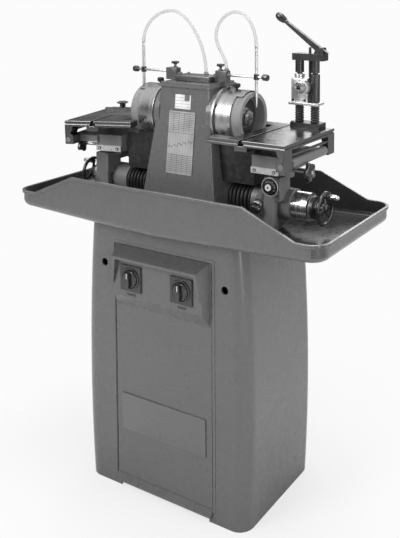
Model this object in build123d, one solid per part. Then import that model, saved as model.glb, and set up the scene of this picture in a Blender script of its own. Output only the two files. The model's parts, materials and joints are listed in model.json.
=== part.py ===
"""Pedestal drill bit sharpener: a double-ended cup-wheel grinder on a cabinet.

Millimetres, +Z up, +X towards the drill fixture, -Y towards the operator.
The origin is on the floor, below the middle of the splash tray.
Stations are drawn once, on the right, and mirrored to the left.
"""
from build123d import *
import os
from math import cos, radians, sin

# Cabinet
CABINET_X = -6
FOOT_HALF_WIDTH = 285
BULGE_HALF_WIDTH = 295
BULGE_Z = 330
NECK_HALF_WIDTH = 273
CABINET_FRONT, CABINET_BACK = -179, 198
CORNER_R = 44
CABINET_WALL = 5
CABINET_TOP_Z = 794
FLOOR_RISE = 0.038
NOTCH_HALF_WIDTH = 160
NOTCH_HEIGHT = 15
KICK_RAIL_REACH = 10
LIFTING_HOLE = (215, 675)
LIFTING_HOLE_R = 11.5
ANCHOR_X, ANCHOR_Y, ANCHOR_R = 215, 135, 7
FOOT_PAD = 32
PAD_THICKNESS = 12

# Front door and its console
DOOR_HALF_WIDTH = 171
DOOR_BOTTOM, DOOR_TOP = 40.5, 740.5
DOOR_SHEET = 3
DOOR_GAP = 1.5
HINGE_GAP = 3
HINGE_X, HINGE_Y = -167.5, -174.5
HINGE_PIN_R = 3
TRIM_GAP, TRIM_WIDTH, TRIM_PROUD = 2, 6, 1.5
HOOD_REACH = 43
HOOD_BEVEL = 22
HOOD_SIDE_INSET = 4
HOOD_BOTTOM, SLOPE_BOTTOM = 600, 560
PANEL_REACH = 26
BLANK_PLATE = (150, 184, 292, 2.5)
SWITCH_X, SWITCH_Z = 90, 658
SWITCH_PLATE = 75
SWITCH_PLATE_THICKNESS = 5
SWITCH_KNOB_REACH = 17

# Splash tray
TRAY_HALF_LENGTH, TRAY_HALF_DEPTH = 530, 225
TRAY_WALL = 4
TRAY_CORNER_R = 45
TRAY_BEND_R = 20
RIM_LOW, RIM_HIGH = 863, 930
RIM_HIGH_X, RIM_LOW_X = 300, 456
LIP, LIP_HEIGHT = 5, 9

# Column
COLUMN_TOP_Z = 1200
COLUMN_TOP = (86, 68)
COLUMN_SLOPE = (0.134, 0.1176)
COLUMN_WALL = 7
COLUMN_EDGE_R = 7
SPINDLE_Z = 1116
GUARD_BOSS_R, GUARD_FACE_X = 82, 104
FEED_Z = 886
FEED_BOSS_R, FEED_BOSS_X = 48, 134

# Spindle, wheels and guards
SHAFT_R = 15
BEARING_R, BEARING_IN, BEARING_OUT = 31, 74, 90
RUNNING = 0.05
ROTOR_R, ROTOR_HALF = 41.5, 45
STATOR_R = 64
WHEEL_R, WHEEL_IN, WHEEL_OUT = 75, 150, 197
CUP_WALL, CUP_BACK = 13, 14
FLANGE_R, FLANGE_THICKNESS = 87, 8
DRUM_R, DRUM_WALL, DRUM_END = 80, 2.5, 187
GUARD_OPEN_X, GUARD_OPEN_Y = 166, -42
SCREW_PITCH_R, SCREW_R = 83.5, 2.8
GUARD_KNOB_X = 140

# Swarf chutes under the guards
CHUTE_IN, CHUTE_OUT, CHUTE_HALF, CHUTE_WALL = 115.5, 230, 50, 3
CHUTE_LOW, CHUTE_HIGH, CHUTE_SADDLE = 936, 1046, 1056

# Coolant
RISER = (54, 25)
RISER_R = 6
DRAIN = (-190, 100)
MANIFOLD = (62, 30, 1230)
VALVE_X, VALVE_TOP = 83, 1248
VALVE_KNOB_R = 12
ARM_Z, ARM_R, NOZZLE_X = 1236, 4, 206
NOZZLE_R = 4.5
NOZZLE_TOP, NOZZLE_TIP = 1330, 1150
HOSE_R = 5
HOSE_TOP = 1420

# Work station, drawn on the right
BAR_R, BAR_END = 20, 330
BARREL_R, BARREL_IN, BARREL_OUT = 44, 212, 336
SLEEVE_R, SLEEVE_IN, SLEEVE_OUT = 39, 300, 386
BARREL_STEP = 252
SCREW_SHAFT_R = 6
HANDWHEEL_R, HANDWHEEL_X, RIM_R = 44, 426, 5
CRANK_R = 34
RIGHT_CRANK, LEFT_CRANK = 75, 90
SWIVEL_X, SWIVEL_Z, SWIVEL_R = 285, 982, 40
PIVOT_R = 14
TILT_X, TILT_Z, TILT_SHAFT_R = 370, 1024, 8
HANGER_IN, HANGER_OUT = 106, 146
TIE_ROD = (376, 1049, 4)
TABLE_IN, TABLE_OUT, TABLE_HALF = 135, 382, 146
TABLE_TOP, TABLE_THICKNESS = 1082, 17
RECESS_X, RECESS_HALF = 203, 104
SLOT_X, SLOT_HALF = 245, 4.5
CRADLE_IN, CRADLE_OUT, CRADLE_HALF = 245, 330, 88
CRADLE_TOP = 1034
STAR = (-30, 990)
STAR_IN, STAR_OUT = 386, 402
SWIVEL_KNOB = (305, 952)
LOCK_KNOB = (250, 908)
LOCK_SLOPE = 33

# The left station stands further out, swivelled and slightly tilted, with a shorter table
LEFT_OUT, LEFT_SWIVEL, LEFT_TILT = 35, 12, 2
LEFT_TABLE_IN, LEFT_SLOT_X = 154, 286
LEFT_CRADLE_IN, LEFT_CRADLE_OUT = 220, 305

# Drill fixture on the right table
FIXTURE_Y = 118
COLUMN_X = (282, 333)
COLUMN_R = 8
FIXTURE_BASE_TOP = 1098
SLIDE_BOTTOM, SLIDE_TOP = 1150, 1240
TOP_BLOCK_Z = (1280, 1300)
LEVER_PIVOT = (350, 1308)
LEVER_KNOB = (222, 1400)
PUSH_ROD_X = 316
COLLET_X, COLLET_Z = 303, 1203
COLLET_BORE_R = 6.5

# Mitre gauge on the left table, drawn on the right
GAUGE_Y = 45
GAUGE_R = 54

TURN = {"x": (0, 90, 0), "y": (-90, 0, 0), "z": (0, 0, 0)}
BOTH = (-1, 1)


# Drawing aids

def block(x0, x1, y0, y1, z0, z1):
    """A box between two opposite corners."""
    middle = ((x0 + x1) / 2, (y0 + y1) / 2, (z0 + z1) / 2)
    return Pos(*middle) * Box(abs(x1 - x0), abs(y1 - y0), abs(z1 - z0))


def rod(axis, radius, start, end, centre):
    """A cylinder along an axis. centre holds its two other coordinates, in X, Y, Z order."""
    low, high = min(start, end), max(start, end)
    place = {"x": (low, *centre), "y": (centre[0], low, centre[1]), "z": (*centre, low)}[axis]
    foot = (Align.CENTER, Align.CENTER, Align.MIN)
    return Location(place, TURN[axis]) * Cylinder(radius, high - low, align=foot)


def tube(axis, outer, inner, start, end, centre):
    """A cylinder with a hole through it."""
    low, high = min(start, end), max(start, end)
    return rod(axis, outer, low, high, centre) - rod(axis, inner, low - 1, high + 1, centre)


def side_prism(points, y0, y1):
    """A polygon of (x, z) points, extruded from y0 to y1."""
    face = make_face(Polyline(*[(x, y0, z) for x, z in points], close=True))
    return extrude(face, amount=y1 - y0, dir=(0, 1, 0))


def cross_prism(points, x0, x1):
    """A polygon of (y, z) points, extruded from x0 to x1."""
    face = make_face(Polyline(*[(x0, y, z) for y, z in points], close=True))
    return extrude(face, amount=x1 - x0, dir=(1, 0, 0))


def mirrored(shape):
    return mirror(shape, about=Plane.YZ)


def on_left(shape, turned=False, tilted=False):
    """Carry a shape drawn for the right station over to the left one."""
    if tilted:
        pivot = Pos(TILT_X, 0, TILT_Z)
        shape = pivot * Rot(0, LEFT_TILT, 0) * pivot.inverse() * shape
    if turned:
        pivot = Pos(SWIVEL_X, 0, 0)
        shape = pivot * Rot(0, 0, -LEFT_SWIVEL) * pivot.inverse() * shape
    return mirrored(Pos(LEFT_OUT, 0, 0) * shape)


def save(name, *shapes):
    """Write one node, as one solid or as a group of separate solids."""
    solids = [solid for shape in shapes for solid in shape.solids()]
    whole = solids[0] if len(solids) == 1 else Compound(solids)
    export_step(whole, f"parts/{name}.step")


# Cabinet

def cabinet_form(inset, bottom):
    """The cabinet's outer form, or a smaller copy of it, with bowed sides and a shallow V on top."""
    foot, bulge = FOOT_HALF_WIDTH - inset, BULGE_HALF_WIDTH - inset
    neck = NECK_HALF_WIDTH - inset
    front, back = CABINET_FRONT + inset, CABINET_BACK - inset
    right, left = CABINET_X + neck, CABINET_X - neck

    def at(x, z):
        return (x, front, z)

    top_right = at(right, tray_floor(right) - inset)
    top_left = at(left, tray_floor(left) - inset)
    outline = [
        Line(at(CABINET_X - foot, bottom), at(CABINET_X + foot, bottom)),
        ThreePointArc(at(CABINET_X + foot, bottom), at(CABINET_X + bulge, BULGE_Z), top_right),
        Line(top_right, at(0, CABINET_TOP_Z - inset)),
        Line(at(0, CABINET_TOP_Z - inset), top_left),
        ThreePointArc(top_left, at(CABINET_X - bulge, BULGE_Z), at(CABINET_X - foot, bottom)),
    ]
    form = extrude(make_face(outline), amount=back - front, dir=(0, 1, 0))
    corners = form.edges().filter_by(lambda edge: edge.length > 600 and abs(edge.center().X) > 200)
    return fillet(corners, CORNER_R - inset)


def door_trim():
    """A raised bead round the door opening."""
    half = DOOR_HALF_WIDTH + HINGE_GAP + TRIM_GAP
    low, high = DOOR_BOTTOM - DOOR_GAP - TRIM_GAP, DOOR_TOP + DOOR_GAP + TRIM_GAP
    front, face = CABINET_FRONT, CABINET_FRONT - TRIM_PROUD
    bead = block(-half - TRIM_WIDTH, half + TRIM_WIDTH, face, front, low - TRIM_WIDTH, high + TRIM_WIDTH)
    return bead - block(-half, half, face - 1, front + 1, low, high)


def pedestal_shell():
    shell = cabinet_form(0, 0) - cabinet_form(CABINET_WALL, -1)
    front = CABINET_FRONT
    shell += door_trim()
    shell += cross_prism(
        [(front, 39), (front - KICK_RAIL_REACH, 22), (front - KICK_RAIL_REACH, NOTCH_HEIGHT + 2),
         (front, NOTCH_HEIGHT + 2)], -DOOR_HALF_WIDTH, DOOR_HALF_WIDTH)
    shell -= block(-NOTCH_HALF_WIDTH, NOTCH_HALF_WIDTH, -220, 220, -1, NOTCH_HEIGHT)
    shell -= block(-DOOR_HALF_WIDTH - HINGE_GAP, DOOR_HALF_WIDTH + DOOR_GAP, -190, -160,
                   DOOR_BOTTOM - DOOR_GAP, DOOR_TOP + DOOR_GAP)
    for side in BOTH:
        shell -= rod("y", LIFTING_HOLE_R, -220, 220, (side * LIFTING_HOLE[0], LIFTING_HOLE[1]))
        # Foot pads with anchor holes, and the lugs for the door's two pivot pins.
        for end in BOTH:
            x, y = side * ANCHOR_X, end * ANCHOR_Y
            pad = block(x - side * FOOT_PAD, side * 300, y - end * FOOT_PAD, end * 220,
                        0, PAD_THICKNESS)
            shell += pad & cabinet_form(CABINET_WALL / 2, 0)
            shell -= rod("z", ANCHOR_R, -1, PAD_THICKNESS + 1, (x, y))
        rail = block(side * 40, side * 70, CABINET_FRONT, CABINET_BACK, 16, 30)
        shell += rail & cabinet_form(CABINET_WALL / 2, 0)
    for z in (DOOR_BOTTOM - 14, DOOR_TOP + 4):
        lug = block(HINGE_X - 9, HINGE_X + 9, -176, HINGE_Y + 9, z, z + 10)
        shell += lug
        shell -= rod("z", HINGE_PIN_R + RUNNING, z - 4, z + 14, (HINGE_X, HINGE_Y))
    shell -= rod("z", RISER_R + 4, 780, 810, RISER)
    shell -= rod("z", 14, 770, 820, DRAIN)
    return shell


def front_door():
    """A flush sheet door that carries the hooded switch console, turning on two pins."""
    front = CABINET_FRONT
    wide = DOOR_HALF_WIDTH
    door = block(-wide, wide, front, front + DOOR_SHEET, DOOR_BOTTOM, DOOR_TOP)
    half, low, high, proud = BLANK_PLATE
    door += block(-half, half, front - proud, front, low, high)
    door += console_hood(front)
    for side in BOTH:
        x = side * SWITCH_X
        door -= rod("y", 6, front - 40, front + 10, (x, SWITCH_Z))
    door -= block(-140, 140, front - PANEL_REACH + 3, front + 10, HOOD_BOTTOM + 12, DOOR_TOP - 40)
    for z, top in ((DOOR_BOTTOM, DOOR_BOTTOM + 8), (DOOR_TOP - 8, DOOR_TOP)):
        door += block(HINGE_X - 3, HINGE_X + 14, front + DOOR_SHEET, HINGE_Y + 4, z, top)
    door += rod("z", HINGE_PIN_R, DOOR_BOTTOM - 12, DOOR_BOTTOM + 2, (HINGE_X, HINGE_Y))
    door += rod("z", HINGE_PIN_R, DOOR_TOP - 2, DOOR_TOP + 13, (HINGE_X, HINGE_Y))
    return door


def console_hood(front):
    """A wedge with a bevelled top and sides, hollowed in front to a flat switch panel."""
    lip_y, lip_z = front - HOOD_REACH, DOOR_TOP - HOOD_BEVEL
    lip_x = DOOR_HALF_WIDTH - HOOD_BEVEL
    wide, top = DOOR_HALF_WIDTH - HOOD_SIDE_INSET, DOOR_TOP
    panel = front - PANEL_REACH
    wedge = cross_prism([(front, SLOPE_BOTTOM), (panel, HOOD_BOTTOM), (lip_y, lip_z), (front, top)],
                        -wide, wide)
    for side in BOTH:
        bevel = make_face(Polyline((side * wide, front, 0), (side * lip_x, lip_y, 0),
                                   (side * 300, lip_y, 0), (side * 300, front, 0), close=True))
        wedge -= Pos(0, 0, 500) * extrude(bevel, amount=300, dir=(0, 0, 1))
    inner = lip_x - 10
    hollow = side_prism([(-wide + 4, HOOD_BOTTOM - 2), (wide - 4, HOOD_BOTTOM - 2),
                         (inner, lip_z - 8), (-inner, lip_z - 8)], lip_y - 50, panel)
    return wedge - hollow


def switch_plates():
    panel = CABINET_FRONT - PANEL_REACH
    face = panel - SWITCH_PLATE_THICKNESS
    half = SWITCH_PLATE / 2
    plates = []
    for side in BOTH:
        x = side * SWITCH_X
        plate = block(x - half, x + half, face, panel, SWITCH_Z - half, SWITCH_Z + half)
        plate += tube("y", 32, 27, face - 3, face, (x, SWITCH_Z))
        plate -= rod("y", 4 + RUNNING, face - 1, panel + 1, (x, SWITCH_Z))
        label = block(x - 15, x + 15, panel - 1, panel, HOOD_BOTTOM + 6, HOOD_BOTTOM + 12)
        plates += [plate, label]
    return plates


def switch_knob(side):
    panel = CABINET_FRONT - PANEL_REACH
    face = panel - SWITCH_PLATE_THICKNESS - 0.2
    x = side * SWITCH_X
    knob = rod("y", 25, face - 6, face, (x, SWITCH_Z))
    knob += block(x - 6, x + 6, face - SWITCH_KNOB_REACH, face - 5, SWITCH_Z - 23, SWITCH_Z + 23)
    knob += rod("y", 4, face - 1, panel + 8, (x, SWITCH_Z))
    return knob


# Splash tray

def tray_floor(x):
    return CABINET_TOP_Z + FLOOR_RISE * abs(x)


def tray_form(grow, rim):
    """A boat-shaped solid. rim lists the (x, z) points of its upper edge, from left to right."""
    long, deep = TRAY_HALF_LENGTH + grow, TRAY_HALF_DEPTH + grow
    floor = [(long, tray_floor(long) - grow), (0, tray_floor(0) - grow),
             (-long, tray_floor(long) - grow)]
    form = side_prism(rim + floor, -deep, deep)
    upright = form.edges().filter_by(
        lambda edge: abs(edge.center().X) > long - 1 and abs(abs(edge.center().Y) - deep) < 1)
    form = fillet(upright, TRAY_CORNER_R + grow)
    low = tray_floor(long) - grow + 1
    floor_edges = form.edges().filter_by(
        lambda edge: edge.center().Z < low and (edge.length > 60 or abs(edge.center().X) > 400)
        and (abs(edge.center().Y) > 1 or abs(edge.center().X) > 1))
    return fillet(floor_edges, TRAY_BEND_R + grow)


def rim_line(grow, lift):
    """The upper edge: low at both ends, rising to a long high middle."""
    long = TRAY_HALF_LENGTH + grow
    right = [(RIM_HIGH_X, RIM_HIGH + lift), (RIM_LOW_X, RIM_LOW + lift), (long, RIM_LOW + lift)]
    return [(-x, z) for x, z in reversed(right)] + right


def splash_tray():
    high = 1000
    inner_long = TRAY_HALF_LENGTH - TRAY_WALL
    cavity = tray_form(-TRAY_WALL, [(-inner_long, high), (inner_long, high)])
    tray = tray_form(0, rim_line(0, 0)) - cavity
    outer_long = TRAY_HALF_LENGTH + LIP
    band = side_prism(rim_line(LIP, 0) + [(x, z) for x, z in reversed(rim_line(LIP, -LIP_HEIGHT))],
                      -TRAY_HALF_DEPTH - LIP, TRAY_HALF_DEPTH + LIP)
    lip = band & tray_form(LIP, [(-outer_long, high), (outer_long, high)])
    tray += lip - cavity
    tray -= rod("z", RISER_R + 4, 780, 810, RISER)
    tray -= rod("z", 14, 780, 820, DRAIN)
    return tray


# Column

def taper(inset):
    """The column's tapered form between the tray floor and its top."""
    low = CABINET_TOP_Z - 10
    drop = COLUMN_TOP_Z - low
    wide, deep = COLUMN_TOP
    edge = COLUMN_EDGE_R if inset == 0 else 3
    sections = []
    for z, grow in ((low, drop), (COLUMN_TOP_Z, 0)):
        half_x = wide + COLUMN_SLOPE[0] * grow - inset
        half_y = deep + COLUMN_SLOPE[1] * grow - inset
        sections.append(Pos(0, 0, z) * RectangleRounded(2 * half_x, 2 * half_y, edge))
    return loft(sections, ruled=True)


def column_housing():
    spindle = (0, SPINDLE_Z)
    feed = (0, FEED_Z)
    housing = taper(0)
    for side in BOTH:
        housing += rod("x", GUARD_BOSS_R, side * 84, side * GUARD_FACE_X, spindle)
        housing += rod("x", FEED_BOSS_R, side * 100, side * FEED_BOSS_X, feed)
    housing -= taper(COLUMN_WALL) & block(-200, 200, -200, 200, 700, COLUMN_TOP_Z - 10)
    for side in BOTH:
        housing -= rod("x", FLANGE_R + 3, side * GUARD_FACE_X, side * 150, spindle)
    # Inside: motor seat, bearing housings and guide bar sockets.
    seat = tube("x", STATOR_R + 9, STATOR_R, -ROTOR_HALF, ROTOR_HALF, spindle)
    housing += seat & taper(COLUMN_WALL / 2)
    for side in BOTH:
        housing += rod("x", 45, side * 66, side * 95, spindle)
        housing += rod("x", 32, side * 60, side * 118, feed)
        housing -= rod("x", BEARING_R, side * 60, side * BEARING_OUT, spindle)
        housing -= rod("x", SHAFT_R + 3, side * 60, side * 110, spindle)
        housing -= rod("x", BAR_R, side * 50, side * 140, feed)
    low = CABINET_TOP_Z + TRAY_WALL
    rise = FLOOR_RISE * 200
    housing -= side_prism([(-200, 700), (200, 700), (200, low + rise), (0, low), (-200, low + rise)],
                          -200, 200)
    housing -= rod("z", RISER_R + 1, 1180, 1210, RISER)
    return housing


def column_cap():
    """A layered lid, overhanging the column."""
    wide, deep = COLUMN_TOP
    lower = Pos(0, 0, COLUMN_TOP_Z + 3) * Box(2 * wide + 12, 2 * deep + 12, 6)
    upper = Pos(0, 0, COLUMN_TOP_Z + 9) * Box(2 * wide + 4, 2 * deep + 4, 6)
    cap = fillet(lower.edges().filter_by(Axis.Z), 8) + fillet(upper.edges().filter_by(Axis.Z), 7)
    return cap - rod("z", RISER_R + 1, 1190, 1220, RISER)


def instruction_plates():
    """Rating plate and chart plate, laid on the column's sloping front."""
    lean = COLUMN_SLOPE[1]
    plates = []
    for half, low, high in ((28, 1138, 1179), (49, 950, 1130)):
        front_low = -COLUMN_TOP[1] - lean * (COLUMN_TOP_Z - low)
        front_high = -COLUMN_TOP[1] - lean * (COLUMN_TOP_Z - high)
        plates.append(cross_prism([(front_low, low), (front_high, high), (front_high - 1.2, high),
                                   (front_low - 1.2, low)], -half, half))
    return plates


# Spindle and guards

def motor_stator():
    return tube("x", STATOR_R, ROTOR_R + 0.5, -ROTOR_HALF, ROTOR_HALF, (0, SPINDLE_Z))


def spindle_bearings():
    rings = []
    for side in BOTH:
        ring = tube("x", BEARING_R, SHAFT_R + RUNNING, side * BEARING_IN, side * BEARING_OUT,
                    (0, SPINDLE_Z))
        for face in (BEARING_IN - 1, BEARING_OUT - 2):
            ring -= tube("x", 27, 20, side * face, side * (face + 3), (0, SPINDLE_Z))
        rings.append(ring)
    return rings


def spindle_shaft():
    spindle = (0, SPINDLE_Z)
    shaft = rod("x", SHAFT_R, -186, 186, spindle)
    return shaft + rod("x", ROTOR_R, -ROTOR_HALF + 1, ROTOR_HALF - 1, spindle)


def wheel_flanges():
    """A backing flange, a washer and a hexagon nut for each wheel."""
    pieces = []
    back = WHEEL_IN + CUP_BACK
    for side in BOTH:
        spindle = (0, SPINDLE_Z)
        pieces.append(tube("x", 34, SHAFT_R, side * 128, side * WHEEL_IN, spindle))
        pieces.append(tube("x", 30, SHAFT_R, side * back, side * (back + 4), spindle))
        hexagon = extrude(RegularPolygon(24, 6), amount=14)
        nut = Location((side * (back + 4), *spindle), (0, side * 90, 0)) * hexagon
        pieces.append(nut - rod("x", SHAFT_R, side * 160, side * 190, spindle))
    return pieces


def cup_wheel():
    spindle = (0, SPINDLE_Z)
    wheel = rod("x", WHEEL_R, WHEEL_IN, WHEEL_OUT, spindle)
    wheel -= rod("x", WHEEL_R - CUP_WALL, WHEEL_IN + CUP_BACK, WHEEL_OUT + 1, spindle)
    return wheel - rod("x", SHAFT_R, WHEEL_IN - 1, WHEEL_OUT, spindle)


def swarf_chute():
    """A dark box below the guard, open at the bottom, that drops swarf into the tray."""
    inner, half, wall = CHUTE_IN, CHUTE_HALF, CHUTE_WALL
    chute = block(inner, DRUM_END, -half, half, CHUTE_LOW, CHUTE_SADDLE)
    chute += block(inner, CHUTE_OUT, -half, half, CHUTE_LOW, CHUTE_HIGH)
    chute -= rod("x", DRUM_R + 0.3, inner - 1, CHUTE_OUT + 1, (0, SPINDLE_Z))
    chute -= block(inner + wall, CHUTE_OUT - wall, wall - half, half - wall,
                   CHUTE_LOW - 1, CHUTE_HIGH - 16)
    return chute - taper(-0.5)


def wheel_guard():
    """A drum on a round flange, cut away in front of the wheel."""
    spindle = (0, SPINDLE_Z)
    face = GUARD_FACE_X + FLANGE_THICKNESS
    guard = tube("x", FLANGE_R, 50, GUARD_FACE_X, face, spindle)
    guard += tube("x", DRUM_R, DRUM_R - DRUM_WALL, face - 1, DRUM_END, spindle)
    guard -= block(GUARD_OPEN_X, DRUM_END + 1, -100, GUARD_OPEN_Y, SPINDLE_Z - 90, SPINDLE_Z + 90)
    return guard - rod("z", 3, SPINDLE_Z + 60, SPINDLE_Z + 90, (GUARD_KNOB_X, 0))


def guard_fasteners():
    """Six screws round each flange, and a thumb screw on each drum."""
    pieces = []
    face = GUARD_FACE_X + FLANGE_THICKNESS
    for side in BOTH:
        for turn in range(30, 390, 60):
            y = SCREW_PITCH_R * cos(radians(turn))
            z = SPINDLE_Z + SCREW_PITCH_R * sin(radians(turn))
            pieces.append(rod("x", SCREW_R, side * face, side * (face + 2.5), (y, z)))
        x = side * GUARD_KNOB_X
        top = SPINDLE_Z + DRUM_R
        knob = rod("z", 3, top - 5, top + 8, (x, 0)) + rod("z", 10, top + 6, top + 18, (x, 0))
        pieces.append(knob)
    return pieces


# Coolant

def coolant_tank():
    tank = block(-205, 205, -110, 150, 30, 300) - block(-201, 201, -106, 146, 34, 296)
    tank -= rod("z", 30, 290, 310, RISER)
    return tank - rod("z", 20, 290, 310, DRAIN)


def coolant_pump():
    """An immersion pump standing on the tank's lid, with its riser pipe."""
    pump = rod("z", 44, 300, 303, RISER) + rod("z", 38, 303, 400, RISER)
    pump += rod("z", 22, 70, 300, RISER)
    return pump + rod("z", RISER_R, 399, 1214, RISER)


def coolant_fittings():
    """Distribution manifold on the column cap, and a valve block at each end."""
    top = COLUMN_TOP_Z + 12
    half_x, half_y, manifold_top = MANIFOLD
    manifold = block(-half_x, half_x, -half_y, half_y, top, manifold_top)
    manifold -= rod("z", RISER_R, top - 1, top + 2, RISER)
    pieces = [manifold]
    for side in BOTH:
        x = side * VALVE_X
        body = block(x - side * 12, x + side * 27, -12, 12, top, VALVE_TOP)
        body += rod("z", 9, VALVE_TOP, VALVE_TOP + 4, (x, 0))
        body += rod("z", 3.5, VALVE_TOP, VALVE_TOP + 12, (x, 0))
        body += rod("z", VALVE_KNOB_R, VALVE_TOP + 10, VALVE_TOP + 20, (x, 0))
        body += block(side * (half_x + 0.5), side * (VALVE_X - 11), -9, 9, top, top + 22)
        body -= rod("x", ARM_R + RUNNING, side * (VALVE_X - 6), side * (VALVE_X + 30), (0, ARM_Z))
        pieces.append(body)
    return pieces


def nozzle_arm():
    """A bright rod in the valve block, its clamp, and the nozzle tube it carries."""
    arm = rod("x", ARM_R, VALVE_X - 4, NOZZLE_X + 22, (0, ARM_Z))
    arm += rod("x", 9, NOZZLE_X + 20, NOZZLE_X + 40, (0, ARM_Z))
    arm += rod("z", 8, ARM_Z - 7, ARM_Z + 7, (NOZZLE_X, 0))
    arm += rod("z", NOZZLE_R, NOZZLE_TIP, NOZZLE_TOP, (NOZZLE_X, 0))
    return arm


def coolant_hose(foot, *middle):
    """A hose that rises from its foot and loops over to the nozzle tube."""
    end = (NOZZLE_X, 0, NOZZLE_TOP + 0.5)
    path = Spline(foot, *middle, end, tangents=[(0, 0, 1), (0, 0, -1)], tangent_scalars=[1.4, 1.4])
    return sweep(Plane(path @ 0, z_dir=path % 0) * Circle(HOSE_R), path=path)


def coolant_hoses():
    """One hose starts on the right valve block, the other crosses over from the manifold."""
    right = coolant_hose((VALVE_X + 21, 0, VALVE_TOP), (64, 6, 1345), (134, 6, HOSE_TOP))
    left = coolant_hose((-17, 20, MANIFOLD[2]), (100, 8, HOSE_TOP))
    return [right, mirrored(left)]


# Work stations

def guide_bar():
    """Round way for the carriage, with a threaded end that takes the feed screw."""
    feed = (0, FEED_Z)
    bar = rod("x", BAR_R, 62, BAR_END, feed)
    bar -= rod("x", SCREW_SHAFT_R + 2, 230, BAR_END - 12, feed)
    return bar - rod("x", SCREW_SHAFT_R + RUNNING, 230, BAR_END + 1, feed)


def bellows(reach):
    return tube("x", 44, 22, FEED_BOSS_X + 0.5, reach - 0.5, (0, FEED_Z))


def lock_axis(face):
    """Where the lock screw enters the casting; its outward axis slopes down."""
    slope = radians(LOCK_SLOPE)
    outward = (0, face * cos(slope), -sin(slope))
    return Plane((LOCK_KNOB[0], face * 38, LOCK_KNOB[1]), x_dir=(1, 0, 0), z_dir=outward)


def lock_rod(face, radius, start, end):
    foot = (Align.CENTER, Align.CENTER, Align.MIN)
    return lock_axis(face) * Pos(0, 0, start) * Cylinder(radius, end - start, align=foot)


def carriage(face):
    """The casting that slides on the guide bar. face is -1 where its controls are in front."""
    feed = (0, FEED_Z)
    casting = rod("x", BARREL_R, BARREL_IN, BARREL_OUT, feed)
    # A post in front carries the swivel disc, and a leg below it holds the foot.
    casting += block(268, 318, -62, -4, 905, 970)
    casting += block(268, 304, -64, -50, 836, 912)
    casting += rod("y", 18, -64, -50, (286, 838))
    casting += block(260, 290, -58, 14, 812, 850)
    casting += side_prism([(258, 812), (288, 812), (334, 858), (334, 890), (258, 890)], -14, 14)
    casting += rod("z", SWIVEL_R, 962, SWIVEL_Z, (SWIVEL_X, 0))
    if face > 0:
        casting += block(292, 318, -10, 56, 936, 972)
    casting += rod("y", 15, face * 50, face * 82, SWIVEL_KNOB)
    casting += lock_rod(face, 15, -16, 24)
    casting -= rod("x", BAR_R + RUNNING, BARREL_IN - 1, BARREL_OUT + 1, feed)
    casting -= rod("x", SLEEVE_R + RUNNING, BARREL_STEP, BARREL_OUT + 1, feed)
    casting -= rod("z", PIVOT_R + RUNNING, 940, SWIVEL_Z + 1, (SWIVEL_X, 0))
    casting -= rod("y", 6 + RUNNING, face * 30, face * 84, SWIVEL_KNOB)
    return casting - lock_rod(face, 5 + RUNNING, -6, 25)


def feed_sleeve():
    feed = (0, FEED_Z)
    sleeve = rod("x", SLEEVE_R, SLEEVE_IN, SLEEVE_OUT, feed)
    sleeve -= rod("x", BAR_R, SLEEVE_IN - 1, BAR_END, feed)
    return sleeve - rod("x", SCREW_SHAFT_R + RUNNING, SLEEVE_IN, SLEEVE_OUT + 1, feed)


def feed_screw():
    return rod("x", SCREW_SHAFT_R, 268, HANDWHEEL_X + 6, (0, FEED_Z))


def handwheel(clock):
    """Graduated dial, hub, three spokes, rim and crank pin."""
    feed = (0, FEED_Z)
    wheel = rod("x", 32, SLEEVE_OUT + 0.5, SLEEVE_OUT + 14, feed)
    wheel += rod("x", 20, SLEEVE_OUT + 10, HANDWHEEL_X - 8, feed)
    wheel += rod("x", 13, HANDWHEEL_X - 14, HANDWHEEL_X + 10, feed)
    rim = tube("x", HANDWHEEL_R + RIM_R, HANDWHEEL_R - RIM_R, HANDWHEEL_X - RIM_R,
               HANDWHEEL_X + RIM_R, feed)
    wheel += fillet(rim.edges().filter_by(GeomType.CIRCLE), RIM_R * 0.8)
    for turn in (clock, clock + 120, clock + 240):
        spoke = block(HANDWHEEL_X - 3, HANDWHEEL_X + 3, 8, HANDWHEEL_R, -5, 5)
        wheel += Pos(0, 0, FEED_Z) * Rot(turn, 0, 0) * spoke
    wheel += rod("x", 7, HANDWHEEL_X - 3, HANDWHEEL_X + 6, crank_centre(clock))
    wheel += rod("x", 4, HANDWHEEL_X, HANDWHEEL_X + 37, crank_centre(clock))
    wheel += rod("x", 6, HANDWHEEL_X + 35, HANDWHEEL_X + 38, crank_centre(clock))
    return wheel - rod("x", SCREW_SHAFT_R, SLEEVE_OUT, HANDWHEEL_X + 6, feed)


def crank_centre(clock):
    """The crank pin's place. clock is the angle from the back, upwards."""
    turn = radians(clock)
    return (CRANK_R * cos(turn), FEED_Z + CRANK_R * sin(turn))


def crank_grip(clock):
    return tube("x", 7.5, 4 + RUNNING, HANDWHEEL_X + 7, HANDWHEEL_X + 34.5, crank_centre(clock))


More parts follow.
